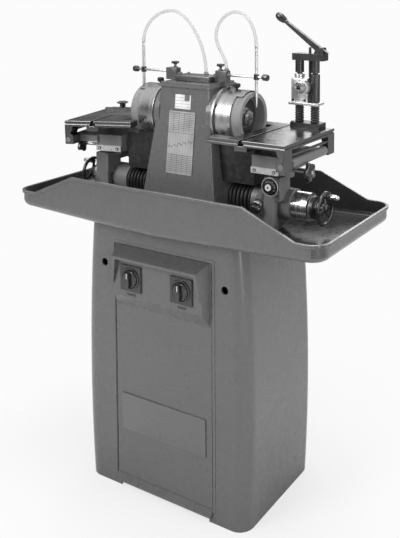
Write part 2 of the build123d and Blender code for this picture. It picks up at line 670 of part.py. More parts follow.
def cradle(inner, outer):
    """The swivelling saddle that carries the table's tilt shaft."""
    wide = CRADLE_HALF
    saddle = block(inner, outer, -wide, wide, SWIVEL_Z + 1, CRADLE_TOP)
    lower = saddle.edges().filter_by(Axis.X).group_by(Axis.Z)[0]
    saddle = chamfer(lower, 14, 10)
    saddle += rod("z", SWIVEL_R, SWIVEL_Z + 0.3, SWIVEL_Z + 8, (SWIVEL_X, 0))
    saddle += block(outer - 5, TILT_X, -96, 96, TILT_Z - 12, TILT_Z + 8)
    saddle += rod("y", 14, -100, 100, (TILT_X, TILT_Z))
    saddle += rod("y", TILT_SHAFT_R, -148, 148, (TILT_X, TILT_Z))
    saddle += rod("z", PIVOT_R, 946, SWIVEL_Z + 5, (SWIVEL_X, 0))
    for end in BOTH:
        saddle += block(inner + 4, outer - 4, end * 60, end * 86, SWIVEL_Z + 1, CRADLE_TOP)
    return saddle - rod("x", 5 + RUNNING, outer - 30, SWIVEL_X + SWIVEL_R + 10, STAR)


def clamp_plate(inner, outer):
    """A bright strip with two screws, across the front of the cradle."""
    front = -CRADLE_HALF
    plate = block(inner, outer, front - 6, front, SWIVEL_Z + 3, SWIVEL_Z + 20)
    for x in (inner + 12, outer - 12):
        plate += rod("y", 4, front - 8, front - 5, (x, SWIVEL_Z + 11.5))
    return plate


def table(inner, slot_x):
    """Flat table with a recess for the guard, a T-slot, and hangers at the tilt shaft."""
    low = TABLE_TOP - TABLE_THICKNESS
    half = TABLE_HALF
    top = block(inner, TABLE_OUT, -half, half, low, TABLE_TOP)
    top -= block(inner - 1, RECESS_X, -RECESS_HALF, RECESS_HALF, low - 1, TABLE_TOP + 1)
    top += block(slot_x - 20, slot_x + 20, -half, half, low - 13, low)
    top -= block(slot_x - SLOT_HALF, slot_x + SLOT_HALF, -half - 1, half + 1,
                 TABLE_TOP - 7, TABLE_TOP + 1)
    top -= block(slot_x - 9, slot_x + 9, -half - 1, half + 1, TABLE_TOP - 16, TABLE_TOP - 7)
    for end in BOTH:
        top -= block(inner - 1, TABLE_OUT + 1, end * (half - 2.5), end * (half + 1),
                     TABLE_TOP - 11, TABLE_TOP - 8)
        top += hanger(low, end)
        top -= rod("y", TILT_SHAFT_R + RUNNING, end * 100, end * 150, (TILT_X, TILT_Z))
    top -= block(TABLE_OUT - 2.5, TABLE_OUT + 1, -half, half, TABLE_TOP - 11, TABLE_TOP - 8)
    tie_x, tie_z, tie_r = TIE_ROD
    return top + rod("y", tie_r, -HANGER_IN - 2, HANGER_IN + 2, (tie_x, tie_z))


def hanger(low, end):
    """A waisted bracket under the table, with a broad foot round the tilt shaft."""
    outline = [(TILT_X - 16, low), (TABLE_OUT, low), (TABLE_OUT, TILT_Z - 14),
               (TILT_X - 16, TILT_Z - 14), (TILT_X - 16, TILT_Z + 12), (TILT_X - 6, TILT_Z + 18)]
    return side_prism(outline, min(end * HANGER_IN, end * HANGER_OUT),
                      max(end * HANGER_IN, end * HANGER_OUT))


def star_knob(outer):
    """Lobed clamp knob on a stud at the cradle's outer face."""
    knob = rod("x", 5, outer - 25, STAR_IN + 1, STAR) + rod("x", 22, STAR_IN, STAR_OUT, STAR)
    for turn in range(0, 360, 72):
        lobe = (STAR[0] + 21 * cos(radians(turn)), STAR[1] + 21 * sin(radians(turn)))
        knob += rod("x", 8.5, STAR_IN + 1, STAR_OUT - 1, lobe)
    return knob


def swivel_knob(face):
    """Dial and knob of the worm that swivels the cradle."""
    knob = rod("y", 6, face * 34, face * 86, SWIVEL_KNOB)
    knob += rod("y", 27, face * 84, face * 92, SWIVEL_KNOB)
    knob += rod("y", 19, face * 90, face * 100, SWIVEL_KNOB)
    return knob + rod("y", 9, face * 98, face * 104, SWIVEL_KNOB)


def lock_knob(face):
    """Small knob with a knurled collar, on a sloping screw."""
    knob = lock_rod(face, 5, -4, 26) + lock_rod(face, 13, 25, 38)
    return knob + lock_rod(face, 17, 37, 62)


# Drill fixture

def fixture_base():
    low, high = FIXTURE_Y - 22, FIXTURE_Y + 24
    base = block(262, 356, low, high, TABLE_TOP, FIXTURE_BASE_TOP)
    for x in COLUMN_X:
        base -= rod("z", COLUMN_R, TABLE_TOP + 2, FIXTURE_BASE_TOP + 1, (x, FIXTURE_Y))
    for x in (267, 350):
        base += rod("z", 4, FIXTURE_BASE_TOP, FIXTURE_BASE_TOP + 3, (x, low + 6))
    return base


def fixture_columns():
    """Two guide columns, with a smooth buffer sleeve under the top block."""
    pieces = []
    for x in COLUMN_X:
        place = (x, FIXTURE_Y)
        pieces.append(rod("z", COLUMN_R, TABLE_TOP + 2, TOP_BLOCK_Z[1] - 4, place))
        pieces.append(tube("z", 13, COLUMN_R, SLIDE_TOP + 4, TOP_BLOCK_Z[0], place))
    return pieces


def fixture_springs():
    return [tube("z", 13.5, COLUMN_R + 1.5, FIXTURE_BASE_TOP + 0.1, SLIDE_BOTTOM - 0.1,
                 (x, FIXTURE_Y)) for x in COLUMN_X]


def fixture_slide():
    """The sprung carriage with the collet housing, and the push rod that the lever presses."""
    low, high = FIXTURE_Y - 20, FIXTURE_Y + 20
    slide = block(264, 351, low, high, SLIDE_BOTTOM + 6, SLIDE_TOP - 10)
    slide += block(258, 357, low - 6, high, SLIDE_BOTTOM, SLIDE_BOTTOM + 8)
    for x in COLUMN_X:
        slide += rod("z", 15, SLIDE_BOTTOM, SLIDE_TOP, (x, FIXTURE_Y))
    slide += rod("y", 24, low - 16, low + 4, (COLLET_X, COLLET_Z))
    slide += rod("z", 4, SLIDE_TOP - 12, 1318, (PUSH_ROD_X, FIXTURE_Y))
    for x in COLUMN_X:
        slide -= rod("z", COLUMN_R + RUNNING, SLIDE_BOTTOM - 1, SLIDE_TOP + 1, (x, FIXTURE_Y))
    return slide - rod("y", 11 + RUNNING, low - 20, high + 1, (COLLET_X, COLLET_Z))


def fixture_collet():
    """A turning sleeve that grips the drill's shank."""
    low = FIXTURE_Y - 36
    place = (COLLET_X, COLLET_Z)
    collet = tube("y", 11, COLLET_BORE_R, low, FIXTURE_Y + 24, place)
    return collet + tube("y", 17, COLLET_BORE_R, low - 10, low - 0.3, place)


def fixture_top_block():
    low, high = TOP_BLOCK_Z
    top = block(266, 366, FIXTURE_Y - 18, FIXTURE_Y + 18, low, high)
    for end in BOTH:
        cheek = side_prism([(334, high), (366, high), (360, high + 18), (342, high + 18)],
                           FIXTURE_Y + end * 7.5, FIXTURE_Y + end * 14)
        top += cheek
    for x in COLUMN_X:
        top -= rod("z", COLUMN_R, low - 1, high - 4, (x, FIXTURE_Y))
    top -= rod("z", 4 + RUNNING, low - 1, high + 1, (PUSH_ROD_X, FIXTURE_Y))
    return top + rod("y", 4, FIXTURE_Y - 17, FIXTURE_Y + 17, LEVER_PIVOT)


def fixture_lever():
    """Hand lever with a heel, turning on the top block's pin."""
    (px, pz), (kx, kz) = LEVER_PIVOT, LEVER_KNOB
    length = ((kx - px) ** 2 + (kz - pz) ** 2) ** 0.5
    across = (-(kz - pz) / length, (kx - px) / length)
    tip = (px + (kx - px) * 0.9, pz + (kz - pz) * 0.9)

    def offset(point, distance):
        return (point[0] + across[0] * distance, point[1] + across[1] * distance)

    outline = [offset((px, pz), 8), offset(tip, 4), offset(tip, -4), offset((px, pz), -10),
               (px + 29, pz - 6)]
    lever = side_prism(outline, FIXTURE_Y - 7, FIXTURE_Y + 7)
    lever += rod("y", 8, FIXTURE_Y - 7, FIXTURE_Y + 7, LEVER_PIVOT)
    return lever - rod("y", 4 + RUNNING, FIXTURE_Y - 8, FIXTURE_Y + 8, LEVER_PIVOT)


def lever_knob():
    """An oval knob on the lever's end, lying along the lever."""
    (px, pz), (kx, kz) = LEVER_PIVOT, LEVER_KNOB
    length = ((kx - px) ** 2 + (kz - pz) ** 2) ** 0.5
    along = Vector((kx - px) / length, 0, (kz - pz) / length)
    foot = Plane((px + (kx - px) * 0.9, FIXTURE_Y, pz + (kz - pz) * 0.9), z_dir=along)
    return foot * Cylinder(11, 34, align=(Align.CENTER, Align.CENTER, Align.MIN))


# Mitre gauge

def mitre_gauge():
    """Guide bar in the T-slot, with the pin that the head turns on."""
    half = SLOT_HALF - RUNNING
    bar = block(LEFT_SLOT_X - half, LEFT_SLOT_X + half, GAUGE_Y - 60, GAUGE_Y + 60,
                TABLE_TOP - 6.9, TABLE_TOP)
    return bar + rod("z", 4, TABLE_TOP, TABLE_TOP + 6, (LEFT_SLOT_X, GAUGE_Y))


def mitre_head():
    """Half-round protractor plate with a straight fence."""
    low = TABLE_TOP + 0.3
    plate = rod("z", GAUGE_R, low, low + 7, (LEFT_SLOT_X, GAUGE_Y))
    plate &= block(LEFT_SLOT_X - 60, LEFT_SLOT_X + 60, GAUGE_Y - 11, GAUGE_Y + 60, low, low + 7)
    plate += block(LEFT_SLOT_X - GAUGE_R, LEFT_SLOT_X + GAUGE_R, GAUGE_Y - 21, GAUGE_Y - 10,
                   low, low + 16)
    plate += rod("z", 12, low, low + 12, (LEFT_SLOT_X, GAUGE_Y))
    plate -= rod("z", 4 + RUNNING, low - 1, TABLE_TOP + 8, (LEFT_SLOT_X, GAUGE_Y))
    return plate - rod("z", 5 + RUNNING, TABLE_TOP + 8, TABLE_TOP + 20, (LEFT_SLOT_X, GAUGE_Y))


def mitre_knob():
    """Mushroom clamp knob."""
    low = TABLE_TOP + 13
    knob = rod("z", 5, TABLE_TOP + 8.5, low + 2, (LEFT_SLOT_X, GAUGE_Y))
    knob += rod("z", 8, low, low + 16, (LEFT_SLOT_X, GAUGE_Y))
    return knob + rod("z", 19, low + 14, low + 22, (LEFT_SLOT_X, GAUGE_Y))


def save_fixed_parts():
    save("pedestal_shell", pedestal_shell())
    save("splash_tray", splash_tray())
    save("column_housing", column_housing())
    save("column_cap", column_cap())
    save("instruction_plates", *instruction_plates())
    save("motor_stator", motor_stator())
    save("spindle_bearings", *spindle_bearings())
    save("right_wheel_guard", wheel_guard())
    save("left_wheel_guard", mirrored(wheel_guard()))
    save("guard_fasteners", *guard_fasteners())
    save("swarf_chutes", swarf_chute(), mirrored(swarf_chute()))
    save("coolant_tank", coolant_tank())
    save("coolant_pump", coolant_pump())
    save("coolant_fittings", *coolant_fittings())
    save("coolant_hoses", *coolant_hoses())
    save("guide_bars", guide_bar(), mirrored(guide_bar()))
    save("right_bellows", bellows(BARREL_IN))
    save("left_bellows", mirrored(bellows(BARREL_IN + LEFT_OUT)))


def save_door_and_spindle():
    save("front_door", front_door())
    save("switch_plates", *switch_plates())
    save("right_switch_knob", switch_knob(1))
    save("left_switch_knob", switch_knob(-1))
    save("spindle_shaft", spindle_shaft())
    save("wheel_flanges", *wheel_flanges())
    save("cup_wheels", cup_wheel(), mirrored(cup_wheel()))
    save("right_nozzle_arm", nozzle_arm())
    save("left_nozzle_arm", mirrored(nozzle_arm()))


def save_stations():
    """The left station's carriage has its controls at the back."""
    for name, right, left in (
            ("carriage", carriage(-1), carriage(1)),
            ("swivel_knob", swivel_knob(-1), swivel_knob(1)),
            ("lock_knob", lock_knob(-1), lock_knob(1))):
        save(f"right_{name}", right)
        save(f"left_{name}", on_left(left))
    for name, right, left in (
            ("feed_sleeve", feed_sleeve(), feed_sleeve()),
            ("feed_screw", feed_screw(), feed_screw()),
            ("handwheel", handwheel(RIGHT_CRANK), handwheel(LEFT_CRANK)),
            ("crank_grip", crank_grip(RIGHT_CRANK), crank_grip(LEFT_CRANK))):
        save(f"right_{name}", right)
        save(f"left_{name}", mirrored(left))
    for side in ("right", "left"):
        on_right = side == "right"
        inner, outer = (CRADLE_IN, CRADLE_OUT) if on_right else (LEFT_CRADLE_IN, LEFT_CRADLE_OUT)
        for name, shape in (("cradle", cradle(inner, outer)),
                            ("clamp_plate", clamp_plate(inner, outer)),
                            ("star_knob", star_knob(outer))):
            save(f"{side}_{name}", shape if on_right else on_left(shape, turned=True))
    save("right_table", table(TABLE_IN, SLOT_X))
    save("left_table", on_left(table(LEFT_TABLE_IN, LEFT_SLOT_X), turned=True, tilted=True))


def save_attachments():
    save("fixture_base", fixture_base())
    save("fixture_columns", *fixture_columns())
    save("fixture_springs", *fixture_springs())
    save("fixture_slide", fixture_slide())
    save("fixture_collet", fixture_collet())
    save("fixture_top_block", fixture_top_block())
    save("fixture_lever", fixture_lever())
    save("lever_knob", lever_knob())
    for name, shape in (("mitre_gauge", mitre_gauge()), ("mitre_head", mitre_head()),
                        ("mitre_knob", mitre_knob())):
        save(name, on_left(shape, turned=True, tilted=True))


os.makedirs("parts", exist_ok=True)
save_fixed_parts()
save_door_and_spindle()
save_stations()
save_attachments()
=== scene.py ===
import json
from math import asin, atan2, cos, pi, radians, sin

import bmesh
import bpy
from mathutils import Matrix, Vector


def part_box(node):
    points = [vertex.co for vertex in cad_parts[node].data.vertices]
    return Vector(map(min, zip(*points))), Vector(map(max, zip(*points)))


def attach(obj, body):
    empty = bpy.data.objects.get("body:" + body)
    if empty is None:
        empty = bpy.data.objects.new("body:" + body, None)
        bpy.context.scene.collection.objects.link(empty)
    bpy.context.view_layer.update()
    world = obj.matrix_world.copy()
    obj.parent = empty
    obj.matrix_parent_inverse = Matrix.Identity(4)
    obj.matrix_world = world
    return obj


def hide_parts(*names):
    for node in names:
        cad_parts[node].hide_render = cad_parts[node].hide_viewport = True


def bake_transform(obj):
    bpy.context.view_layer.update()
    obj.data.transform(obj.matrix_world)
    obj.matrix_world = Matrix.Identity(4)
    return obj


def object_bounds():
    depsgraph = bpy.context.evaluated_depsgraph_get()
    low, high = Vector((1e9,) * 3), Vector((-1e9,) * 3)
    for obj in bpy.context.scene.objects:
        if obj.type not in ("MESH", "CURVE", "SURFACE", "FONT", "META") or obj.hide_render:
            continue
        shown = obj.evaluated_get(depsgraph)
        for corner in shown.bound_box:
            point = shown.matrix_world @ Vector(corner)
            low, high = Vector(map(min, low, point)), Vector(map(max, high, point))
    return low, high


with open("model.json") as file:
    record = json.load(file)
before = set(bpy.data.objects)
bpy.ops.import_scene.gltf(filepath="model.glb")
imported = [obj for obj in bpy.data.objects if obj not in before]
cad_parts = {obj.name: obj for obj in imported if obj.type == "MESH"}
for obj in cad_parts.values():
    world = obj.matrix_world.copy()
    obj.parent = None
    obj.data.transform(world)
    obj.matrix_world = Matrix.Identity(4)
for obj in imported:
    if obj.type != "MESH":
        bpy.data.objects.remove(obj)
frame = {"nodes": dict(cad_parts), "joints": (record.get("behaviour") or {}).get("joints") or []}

# The script's own lengths are millimetres; a finished mesh is scaled to metres.
MM = 0.001
UP = (0, 0, 1)
SIDES = {"left": -1, "right": 1}
JOINTS = {joint["name"]: joint for joint in frame["joints"]}
CAD_LOW, CAD_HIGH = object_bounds()


def box(node):
    """A CAD node's lowest and highest corner, in millimetres."""
    low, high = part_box(node)
    return low / MM, high / MM


def joint_line(name):
    """The point of a joint in millimetres, and the direction of its axis."""
    joint = JOINTS[name]
    return Vector(joint["pos_m"]) / MM, Vector(joint["axis"]).normalized()


# Mesh aids

def across(axis):
    """Two unit vectors square to an axis and to each other."""
    other = Vector((0, 0, 1)) if abs(axis.z) < 0.9 else Vector((0, 1, 0))
    side = axis.cross(other).normalized()
    return side, axis.cross(side)


def bridge(bm, first, second):
    """Faces between two rings of points, either of which may be a single point."""
    count = max(len(first), len(second))
    for step in range(count):
        after = (step + 1) % count
        if len(first) == 1:
            bm.faces.new((first[0], second[step], second[after]))
        elif len(second) == 1:
            bm.faces.new((first[step], second[0], first[after]))
        else:
            bm.faces.new((first[step], second[step], second[after], first[after]))


def skin(bm, rings):
    for first, second in zip(rings, rings[1:]):
        bridge(bm, first, second)


def turn(bm, profile, centre, axis, steps=48, ripple=None, closed=False):
    """Turns (radius, distance) points round an axis. ripple(angle, radius) adds to the radius."""
    centre, axis = Vector(centre), Vector(axis).normalized()
    side, up = across(axis)
    rings = []
    for radius, distance in profile:
        middle = centre + axis * distance
        if radius < 1e-6:
            rings.append([bm.verts.new(middle)])
            continue
        ring = []
        for step in range(steps):
            angle = 2 * pi * step / steps
            reach = radius + (ripple(angle, radius) if ripple else 0)
            ring.append(bm.verts.new(middle + (side * cos(angle) + up * sin(angle)) * reach))
        rings.append(ring)
    skin(bm, rings)
    if closed:
        bridge(bm, rings[-1], rings[0])


def soften(points, radius, steps=3):
    """A line of points with its inner corners rounded."""
    points = [Vector(point) for point in points]
    line = [points[0]]
    for before, corner, after in zip(points, points[1:], points[2:]):
        back, ahead = before - corner, after - corner
        start = corner + back.normalized() * min(radius, back.length * 0.48)
        end = corner + ahead.normalized() * min(radius, ahead.length * 0.48)
        for step in range(steps + 1):
            part = step / steps
            line.append(start * (1 - part) ** 2 + corner * 2 * part * (1 - part) + end * part ** 2)
    line.append(points[-1])
    return line


def rod(bm, start, end, radius, edge=0.6, steps=32):
    """A round bar between two points, with rounded ends."""
    start, end = Vector(start), Vector(end)
    length = (end - start).length
    corners = [(0, 0), (radius, 0), (radius, length), (0, length)]
    turn(bm, soften(corners, edge, 2), start, end - start, steps)


def sleeve(bm, start, end, outer, inner, edge=0.6, steps=40):
    """A round tube between two points."""
    start, end = Vector(start), Vector(end)
    length = (end - start).length
    corners = [(inner, length / 2), (inner, 0), (outer, 0), (outer, length), (inner, length),
               (inner, length / 2)]
    turn(bm, soften(corners, edge, 2)[:-1], start, end - start, steps, closed=True)


def slab(bm, outline, place, right, up, depth, edge=0.0):
    """A flat outline of (right, up) points, pushed along right x up, with rounded edges."""
    right, up = Vector(right).normalized(), Vector(up).normalized()
    push = right.cross(up) * depth
    near = [bm.verts.new(Vector(place) + right * x + up * y) for x, y in outline]
    far = [bm.verts.new(vert.co + push) for vert in near]
    count = len(near)
    faces = [bm.faces.new(near[::-1]), bm.faces.new(far)]
    for step in range(count):
        after = (step + 1) % count
        faces.append(bm.faces.new((near[step], near[after], far[after], far[step])))
    if edge:
        edges = {line for face in faces[:2] for line in face.edges}
        bmesh.ops.bevel(bm, geom=list(edges), offset=edge, segments=2, profile=0.5,
                        affect="EDGES", clamp_overlap=True)


def brick(bm, low, high, edge=1.0):
    """A box between two corners, with rounded edges."""
    low, high = Vector(low), Vector(high)
    made = bmesh.ops.create_cube(bm, size=1)["verts"]
    middle, size = (low + high) / 2, high - low
    for vert in made:
        vert.co = Vector(part * full for part, full in zip(vert.co, size)) + middle
    edges = {line for vert in made for line in vert.link_edges}
    bmesh.ops.bevel(bm, geom=list(edges), offset=edge, segments=3, profile=0.5,
                    affect="EDGES", clamp_overlap=True)


def pipe(bm, path, outer, inner):
    """A hose along a path, open at both ends."""
    steps = 20
    path = [Vector(point) for point in path]
    heading = (path[1] - path[0]).normalized()
    side, _ = across(heading)
    shells = {outer: [], inner: []}
    for index, point in enumerate(path):
        before, after = path[max(index - 1, 0)], path[min(index + 1, len(path) - 1)]
        heading = (after - before).normalized()
        side = (side - heading * side.dot(heading)).normalized()
        up = heading.cross(side)
        for radius, rings in shells.items():
            rings.append([bm.verts.new(point + (side * cos(a) + up * sin(a)) * radius)
                          for a in (2 * pi * step / steps for step in range(steps))])
    for rings in shells.values():
        skin(bm, rings)
    bridge(bm, shells[outer][0], shells[inner][0])
    bridge(bm, shells[outer][-1], shells[inner][-1])


def settle(name, bm, material):
    """Turns a drawn mesh into a named object."""
    mesh = bpy.data.meshes.new(name)
    bm.to_mesh(mesh)
    bm.free()
    mesh.materials.append(material)
    made = bpy.data.objects.new(name, mesh)
    bpy.context.scene.collection.objects.link(made)
    return made


def piece(name, bm, material, body=None, replaces=(), sharp=38):
    """Turns a drawn mesh into a named piece that rides on a body."""
    bmesh.ops.remove_doubles(bm, verts=bm.verts, dist=1e-4)
    bmesh.ops.recalc_face_normals(bm, faces=bm.faces)
    bmesh.ops.scale(bm, vec=(MM, MM, MM), verts=bm.verts)
    made = settle(name, bm, material)
    made.data.shade_smooth()
    made.data.set_sharp_from_angle(angle=radians(sharp))
    if body:
        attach(made, body)
    if replaces:
        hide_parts(*replaces)
    return made


# Material aids

class Shader:
    """A material's node tree, with short ways to add to it."""

    def __init__(self, name):
        self.material = bpy.data.materials.new(name)
        self.material.use_nodes = True
        self.tree = self.material.node_tree
        self.surface = self.tree.nodes["Principled BSDF"]

    def feed(self, socket, value):
        if isinstance(value, bpy.types.NodeSocket):
            self.tree.links.new(value, socket)
        elif isinstance(value, (int, float)) and socket.type == "RGBA":
            socket.default_value = (value, value, value, 1)
        else:
            socket.default_value = value

    def node(self, kind, inputs=None, **settings):
        made = self.tree.nodes.new("ShaderNode" + kind)
        for key, value in settings.items():
            setattr(made, key, value)
        for key, value in (inputs or {}).items():
            self.feed(made.inputs[key], value)
        return made

    def set(self, **inputs):
        for key, value in inputs.items():
            self.feed(self.surface.inputs[key.replace("_", " ")], value)

    def spot(self):
        """The position on the object, in metres."""
        return self.node("TexCoord").outputs["Object"]

    def parts(self, vector):
        """The X, Y and Z of a vector."""
        return self.node("SeparateXYZ", {"Vector": vector}).outputs

    def length(self, first, second):
        """The length of a flat vector."""
        squares = [self.maths("MULTIPLY", part, part) for part in (first, second)]
        return self.maths("SQRT", self.maths("ADD", *squares))

    def place(self, stretch=(1, 1, 1)):
        """The position on the object, scaled along each axis."""
        return self.node("Mapping", {"Vector": self.spot(), "Scale": stretch}).outputs["Vector"]

    def noise(self, scale, detail=3.0, stretch=(1, 1, 1), vector=None):
        vector = vector or self.place(stretch)
        made = self.node("TexNoise", {"Vector": vector, "Scale": scale, "Detail": detail})
        return made.outputs["Fac"]

    def span(self, value, low, high, start=0.3, end=0.7):
        """A value between start and end, carried over to low and high."""
        made = self.node("MapRange", {"Value": value, "From Min": start, "From Max": end,
                                      "To Min": low, "To Max": high})
        return made.outputs["Result"]

    def mix(self, factor, first, second, blend="MIX"):
        made = self.node("Mix", {0: factor, 6: first, 7: second}, data_type="RGBA",
                         blend_type=blend)
        return made.outputs[2]

    def maths(self, operation, first, second=0.0):
        return self.node("Math", {0: first, 1: second}, operation=operation).outputs[0]

    def bump(self, height, depth, normal=None):
        inputs = {"Height": height, "Distance": depth, "Strength": 1.0}
        if normal is not None:
            inputs["Normal"] = normal
        return self.node("Bump", inputs).outputs["Normal"]

    def overlay(self, factor, first, second):
        """Shows a mixture of two shader nodes as the material's surface."""
        both = self.node("MixShader", {0: factor, 1: first.outputs[0], 2: second.outputs[0]})
        self.feed(self.tree.nodes["Material Output"].inputs["Surface"], both.outputs[0])

    def edges(self, radius):
        """1 along sharp edges, 0 on open faces."""
        soft = self.node("Bevel", {"Radius": radius}, samples=4).outputs["Normal"]
        plain = self.node("NewGeometry").outputs["Normal"]
        match = self.node("VectorMath", {0: soft, 1: plain}, operation="DOT_PRODUCT")
        return self.span(match.outputs["Value"], 1.0, 0.0, 0.80, 0.985)


def enamel(name, shade, gloss=0.27, peel=0.00004, edge_light=0.3, painted_shade=None):
    """Sprayed enamel: slow shade drift, fine orange peel and a painted highlight along sharp edges."""
    ink = Shader(name)
    drift = ink.mix(ink.noise(5, 3), shade * 0.93, shade * 1.06)
    speck = ink.mix(ink.span(ink.noise(420, 2), 0, 1, 0.35, 0.65), 0.93, 1.05)
    # Painted highlight: sharp edges are mixed towards a lighter tone, scaled by edge_light.
    edge_highlight = ink.maths("MULTIPLY", ink.edges(0.0018), edge_light)
    tone = ink.mix(edge_highlight, ink.mix(1.0, drift, speck, "MULTIPLY"), min(shade * 2.6, 0.6))
    ink.set(Base_Color=painted_shade(ink, tone, shade) if painted_shade else tone,
            Roughness=ink.span(ink.noise(30, 4), gloss - 0.05, gloss + 0.07),
            Normal=ink.bump(ink.noise(700, 2), peel), Coat_Weight=0.35, Coat_Roughness=0.16)
    return ink.material


def tray_inside_shade(ink, tone, shade):
    """Painted shade: darkens the tray's inside walls and floor, with blotchy noise in it."""
    lip = 0.0075
    _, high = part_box("splash_tray")
    spot, facing = ink.parts(ink.spot()), ink.parts(ink.node("NewGeometry").outputs["Normal"])
    within = [ink.maths("LESS_THAN", ink.maths("ABSOLUTE", spot[key]), limit - lip)
              for key, limit in (("X", high.x), ("Y", high.y))]
    inside = both_of(ink, *within, ink.maths("GREATER_THAN", facing["Z"], -0.2))
    # Painted shade: a darker tone is mixed over everything inside the lip that does not face down.
    shaded_tone = ink.mix(ink.noise(7, 4), shade * 0.28, shade * 0.62)
    return ink.mix(ink.maths("MULTIPLY", inside, 0.85), tone, shaded_tone)


def casting(name, shade):
    """Enamel over a sand casting, with its pitted skin."""
    ink = Shader(name)
    pits = ink.bump(ink.noise(160, 5), 0.0005)
    ink.set(Base_Color=ink.mix(ink.noise(22, 4), shade * 0.8, shade * 1.2),
            Roughness=ink.span(ink.noise(60, 3), 0.38, 0.55),
            Normal=ink.bump(ink.noise(900, 2), 0.00005, pits), Coat_Weight=0.1)
    return ink.material


def ground(name, shade):
    """Surface-ground steel: fine scratches along Y, and a little oil film."""
    ink = Shader(name)
    lines = ink.noise(1500, 2, (1, 0.03, 1))
    film = ink.noise(9, 4)
    ink.set(Base_Color=ink.mix(film, shade * 0.8, shade * 1.12), Metallic=1.0,
            Roughness=ink.maths("ADD", ink.span(film, 0.2, 0.34), ink.span(lines, -0.05, 0.05)),
            Anisotropic=0.5, Normal=ink.bump(lines, 0.00003))
    ink.set(Tangent=ink.node("CombineXYZ", {"Y": 1.0}).outputs["Vector"])
    return ink.material


def turned(name, shade, axis, centre, rough=(0.16, 0.3)):
    """Turned metal: rings of tool marks round an axis through centre, in metres."""
    ink = Shader(name)
    shifted = ink.node("VectorMath", {0: ink.spot(), 1: tuple(centre)}, operation="SUBTRACT")
    parts = ink.parts(shifted.outputs[0])
    radius = ink.length(*(parts[key] for key in "XYZ" if key != axis))
    rings = ink.node("CombineXYZ", {"X": parts[axis], "Y": radius}).outputs["Vector"]
    lines = ink.noise(1400, 3, vector=rings)
    bands = ink.noise(120, 2, vector=rings)
    film = ink.noise(14, 3)
    ink.set(Base_Color=ink.mix(ink.maths("MULTIPLY", film, bands), shade * 0.78, shade * 1.1),
            Metallic=1.0, Anisotropic=0.7,
            Roughness=ink.maths("ADD", ink.span(bands, *rough), ink.span(lines, -0.05, 0.05)),
            Normal=ink.bump(lines, 0.00004),
            Tangent=ink.node("Tangent", direction_type="RADIAL", axis=axis).outputs["Tangent"])
    return ink.material


def worn_metal(name, shade, edge_shade, rough=0.38, metallic=0.9):
    """Machined or blackened metal with rubbed edges."""
    ink = Shader(name)
    base = ink.mix(ink.noise(40, 4), shade * 0.75, shade * 1.25)
    scuffs = ink.maths("MULTIPLY", ink.edges(0.0012), ink.span(ink.noise(90, 3), 0.3, 1.0))
    ink.set(Base_Color=ink.mix(scuffs, base, edge_shade), Metallic=metallic,
            Roughness=ink.span(ink.noise(70, 3), rough - 0.08, rough + 0.1),
            Normal=ink.bump(ink.noise(900, 3), 0.00004))
    return ink.material


def bakelite(name, shade=0.012, rough=0.16):
    """Moulded black plastic, glossy with faint handling marks."""
    ink = Shader(name)
    touch = ink.noise(80, 4)
    ink.set(Base_Color=ink.mix(touch, shade * 0.7, shade * 1.8),
            Roughness=ink.span(touch, rough, rough + 0.14), Coat_Weight=0.4,
            Coat_Roughness=0.08, Normal=ink.bump(ink.noise(500, 2), 0.00002))
    return ink.material


def black_rubber(name):
    """Dull moulded rubber with pale dust on it."""
    ink = Shader(name)
    dust = ink.span(ink.noise(60, 5), 0, 1, 0.45, 0.8)
    ink.set(Base_Color=ink.mix(dust, 0.012, 0.05), Roughness=ink.span(ink.noise(90), 0.34, 0.52),
            Normal=ink.bump(ink.noise(1100, 3), 0.00006), Sheen_Weight=0.15)
    return ink.material


def abrasive(name, shade, centre, bore):
    """Vitrified wheel: bonded grains with tiny pores, and painted shade over the cup's inside, within
    the bore.
    """
    ink = Shader(name)
    spot = ink.parts(ink.spot())
    height = ink.maths("SUBTRACT", spot["Z"], centre[2])
    inside = ink.maths("LESS_THAN", ink.length(spot["Y"], height), bore)
    grain = ink.node("TexVoronoi", {"Vector": ink.place(), "Scale": 1500.0})
    tone = ink.mix(grain.outputs["Color"], shade * 0.8, shade * 1.15)
    smear = ink.mix(ink.span(ink.noise(35, 4), 0, 1, 0.4, 0.75), 1.0, 0.8)
    # Painted shade: the cup's inside, within the bore, is near black as if in shadow.
    cup_inside_shade = 0.035
    rim = ink.mix(1.0, tone, smear, "MULTIPLY")
    ink.set(Base_Color=ink.mix(inside, rim, cup_inside_shade), Roughness=0.9,
            Normal=ink.bump(grain.outputs["Distance"], 0.0003))
    return ink.material


def clear_plastic(name):
    """Clear hose: see-through in the middle, grey where the wall is seen edge on."""
    ink = Shader(name)
    facing = ink.node("LayerWeight", {"Blend": 0.5}).outputs["Facing"]
    wall = ink.span(ink.maths("POWER", facing, 1.6), 0.10, 0.62, 0.0, 1.0)
    cloud = ink.mix(ink.noise(50, 3), 0.42, 0.62)
    ink.set(Base_Color=cloud, Roughness=0.12, Normal=ink.bump(ink.noise(60, 1), 0.00003))
    ink.overlay(wall, ink.node("BsdfTransparent", {"Color": 0.97}), ink.surface)
    return ink.material


def stripes(ink, value, pitch, width, offset=0.0):
    """1 on lines of a width, repeated at a pitch along a value in metres."""
    phase = ink.maths("FRACT", ink.maths("DIVIDE", ink.maths("ADD", value, offset), pitch))
    return ink.maths("LESS_THAN", phase, width / pitch)


def joined(ink, operation, masks):
    made, *others = masks
    for mask in others:
        made = ink.maths(operation, made, mask)
    return made


def any_of(ink, *masks):
    return joined(ink, "MAXIMUM", masks)


def both_of(ink, *masks):
    return joined(ink, "MULTIPLY", masks)


def between(ink, value, low, high):
    return both_of(ink, ink.maths("GREATER_THAN", value, low), ink.maths("LESS_THAN", value, high))


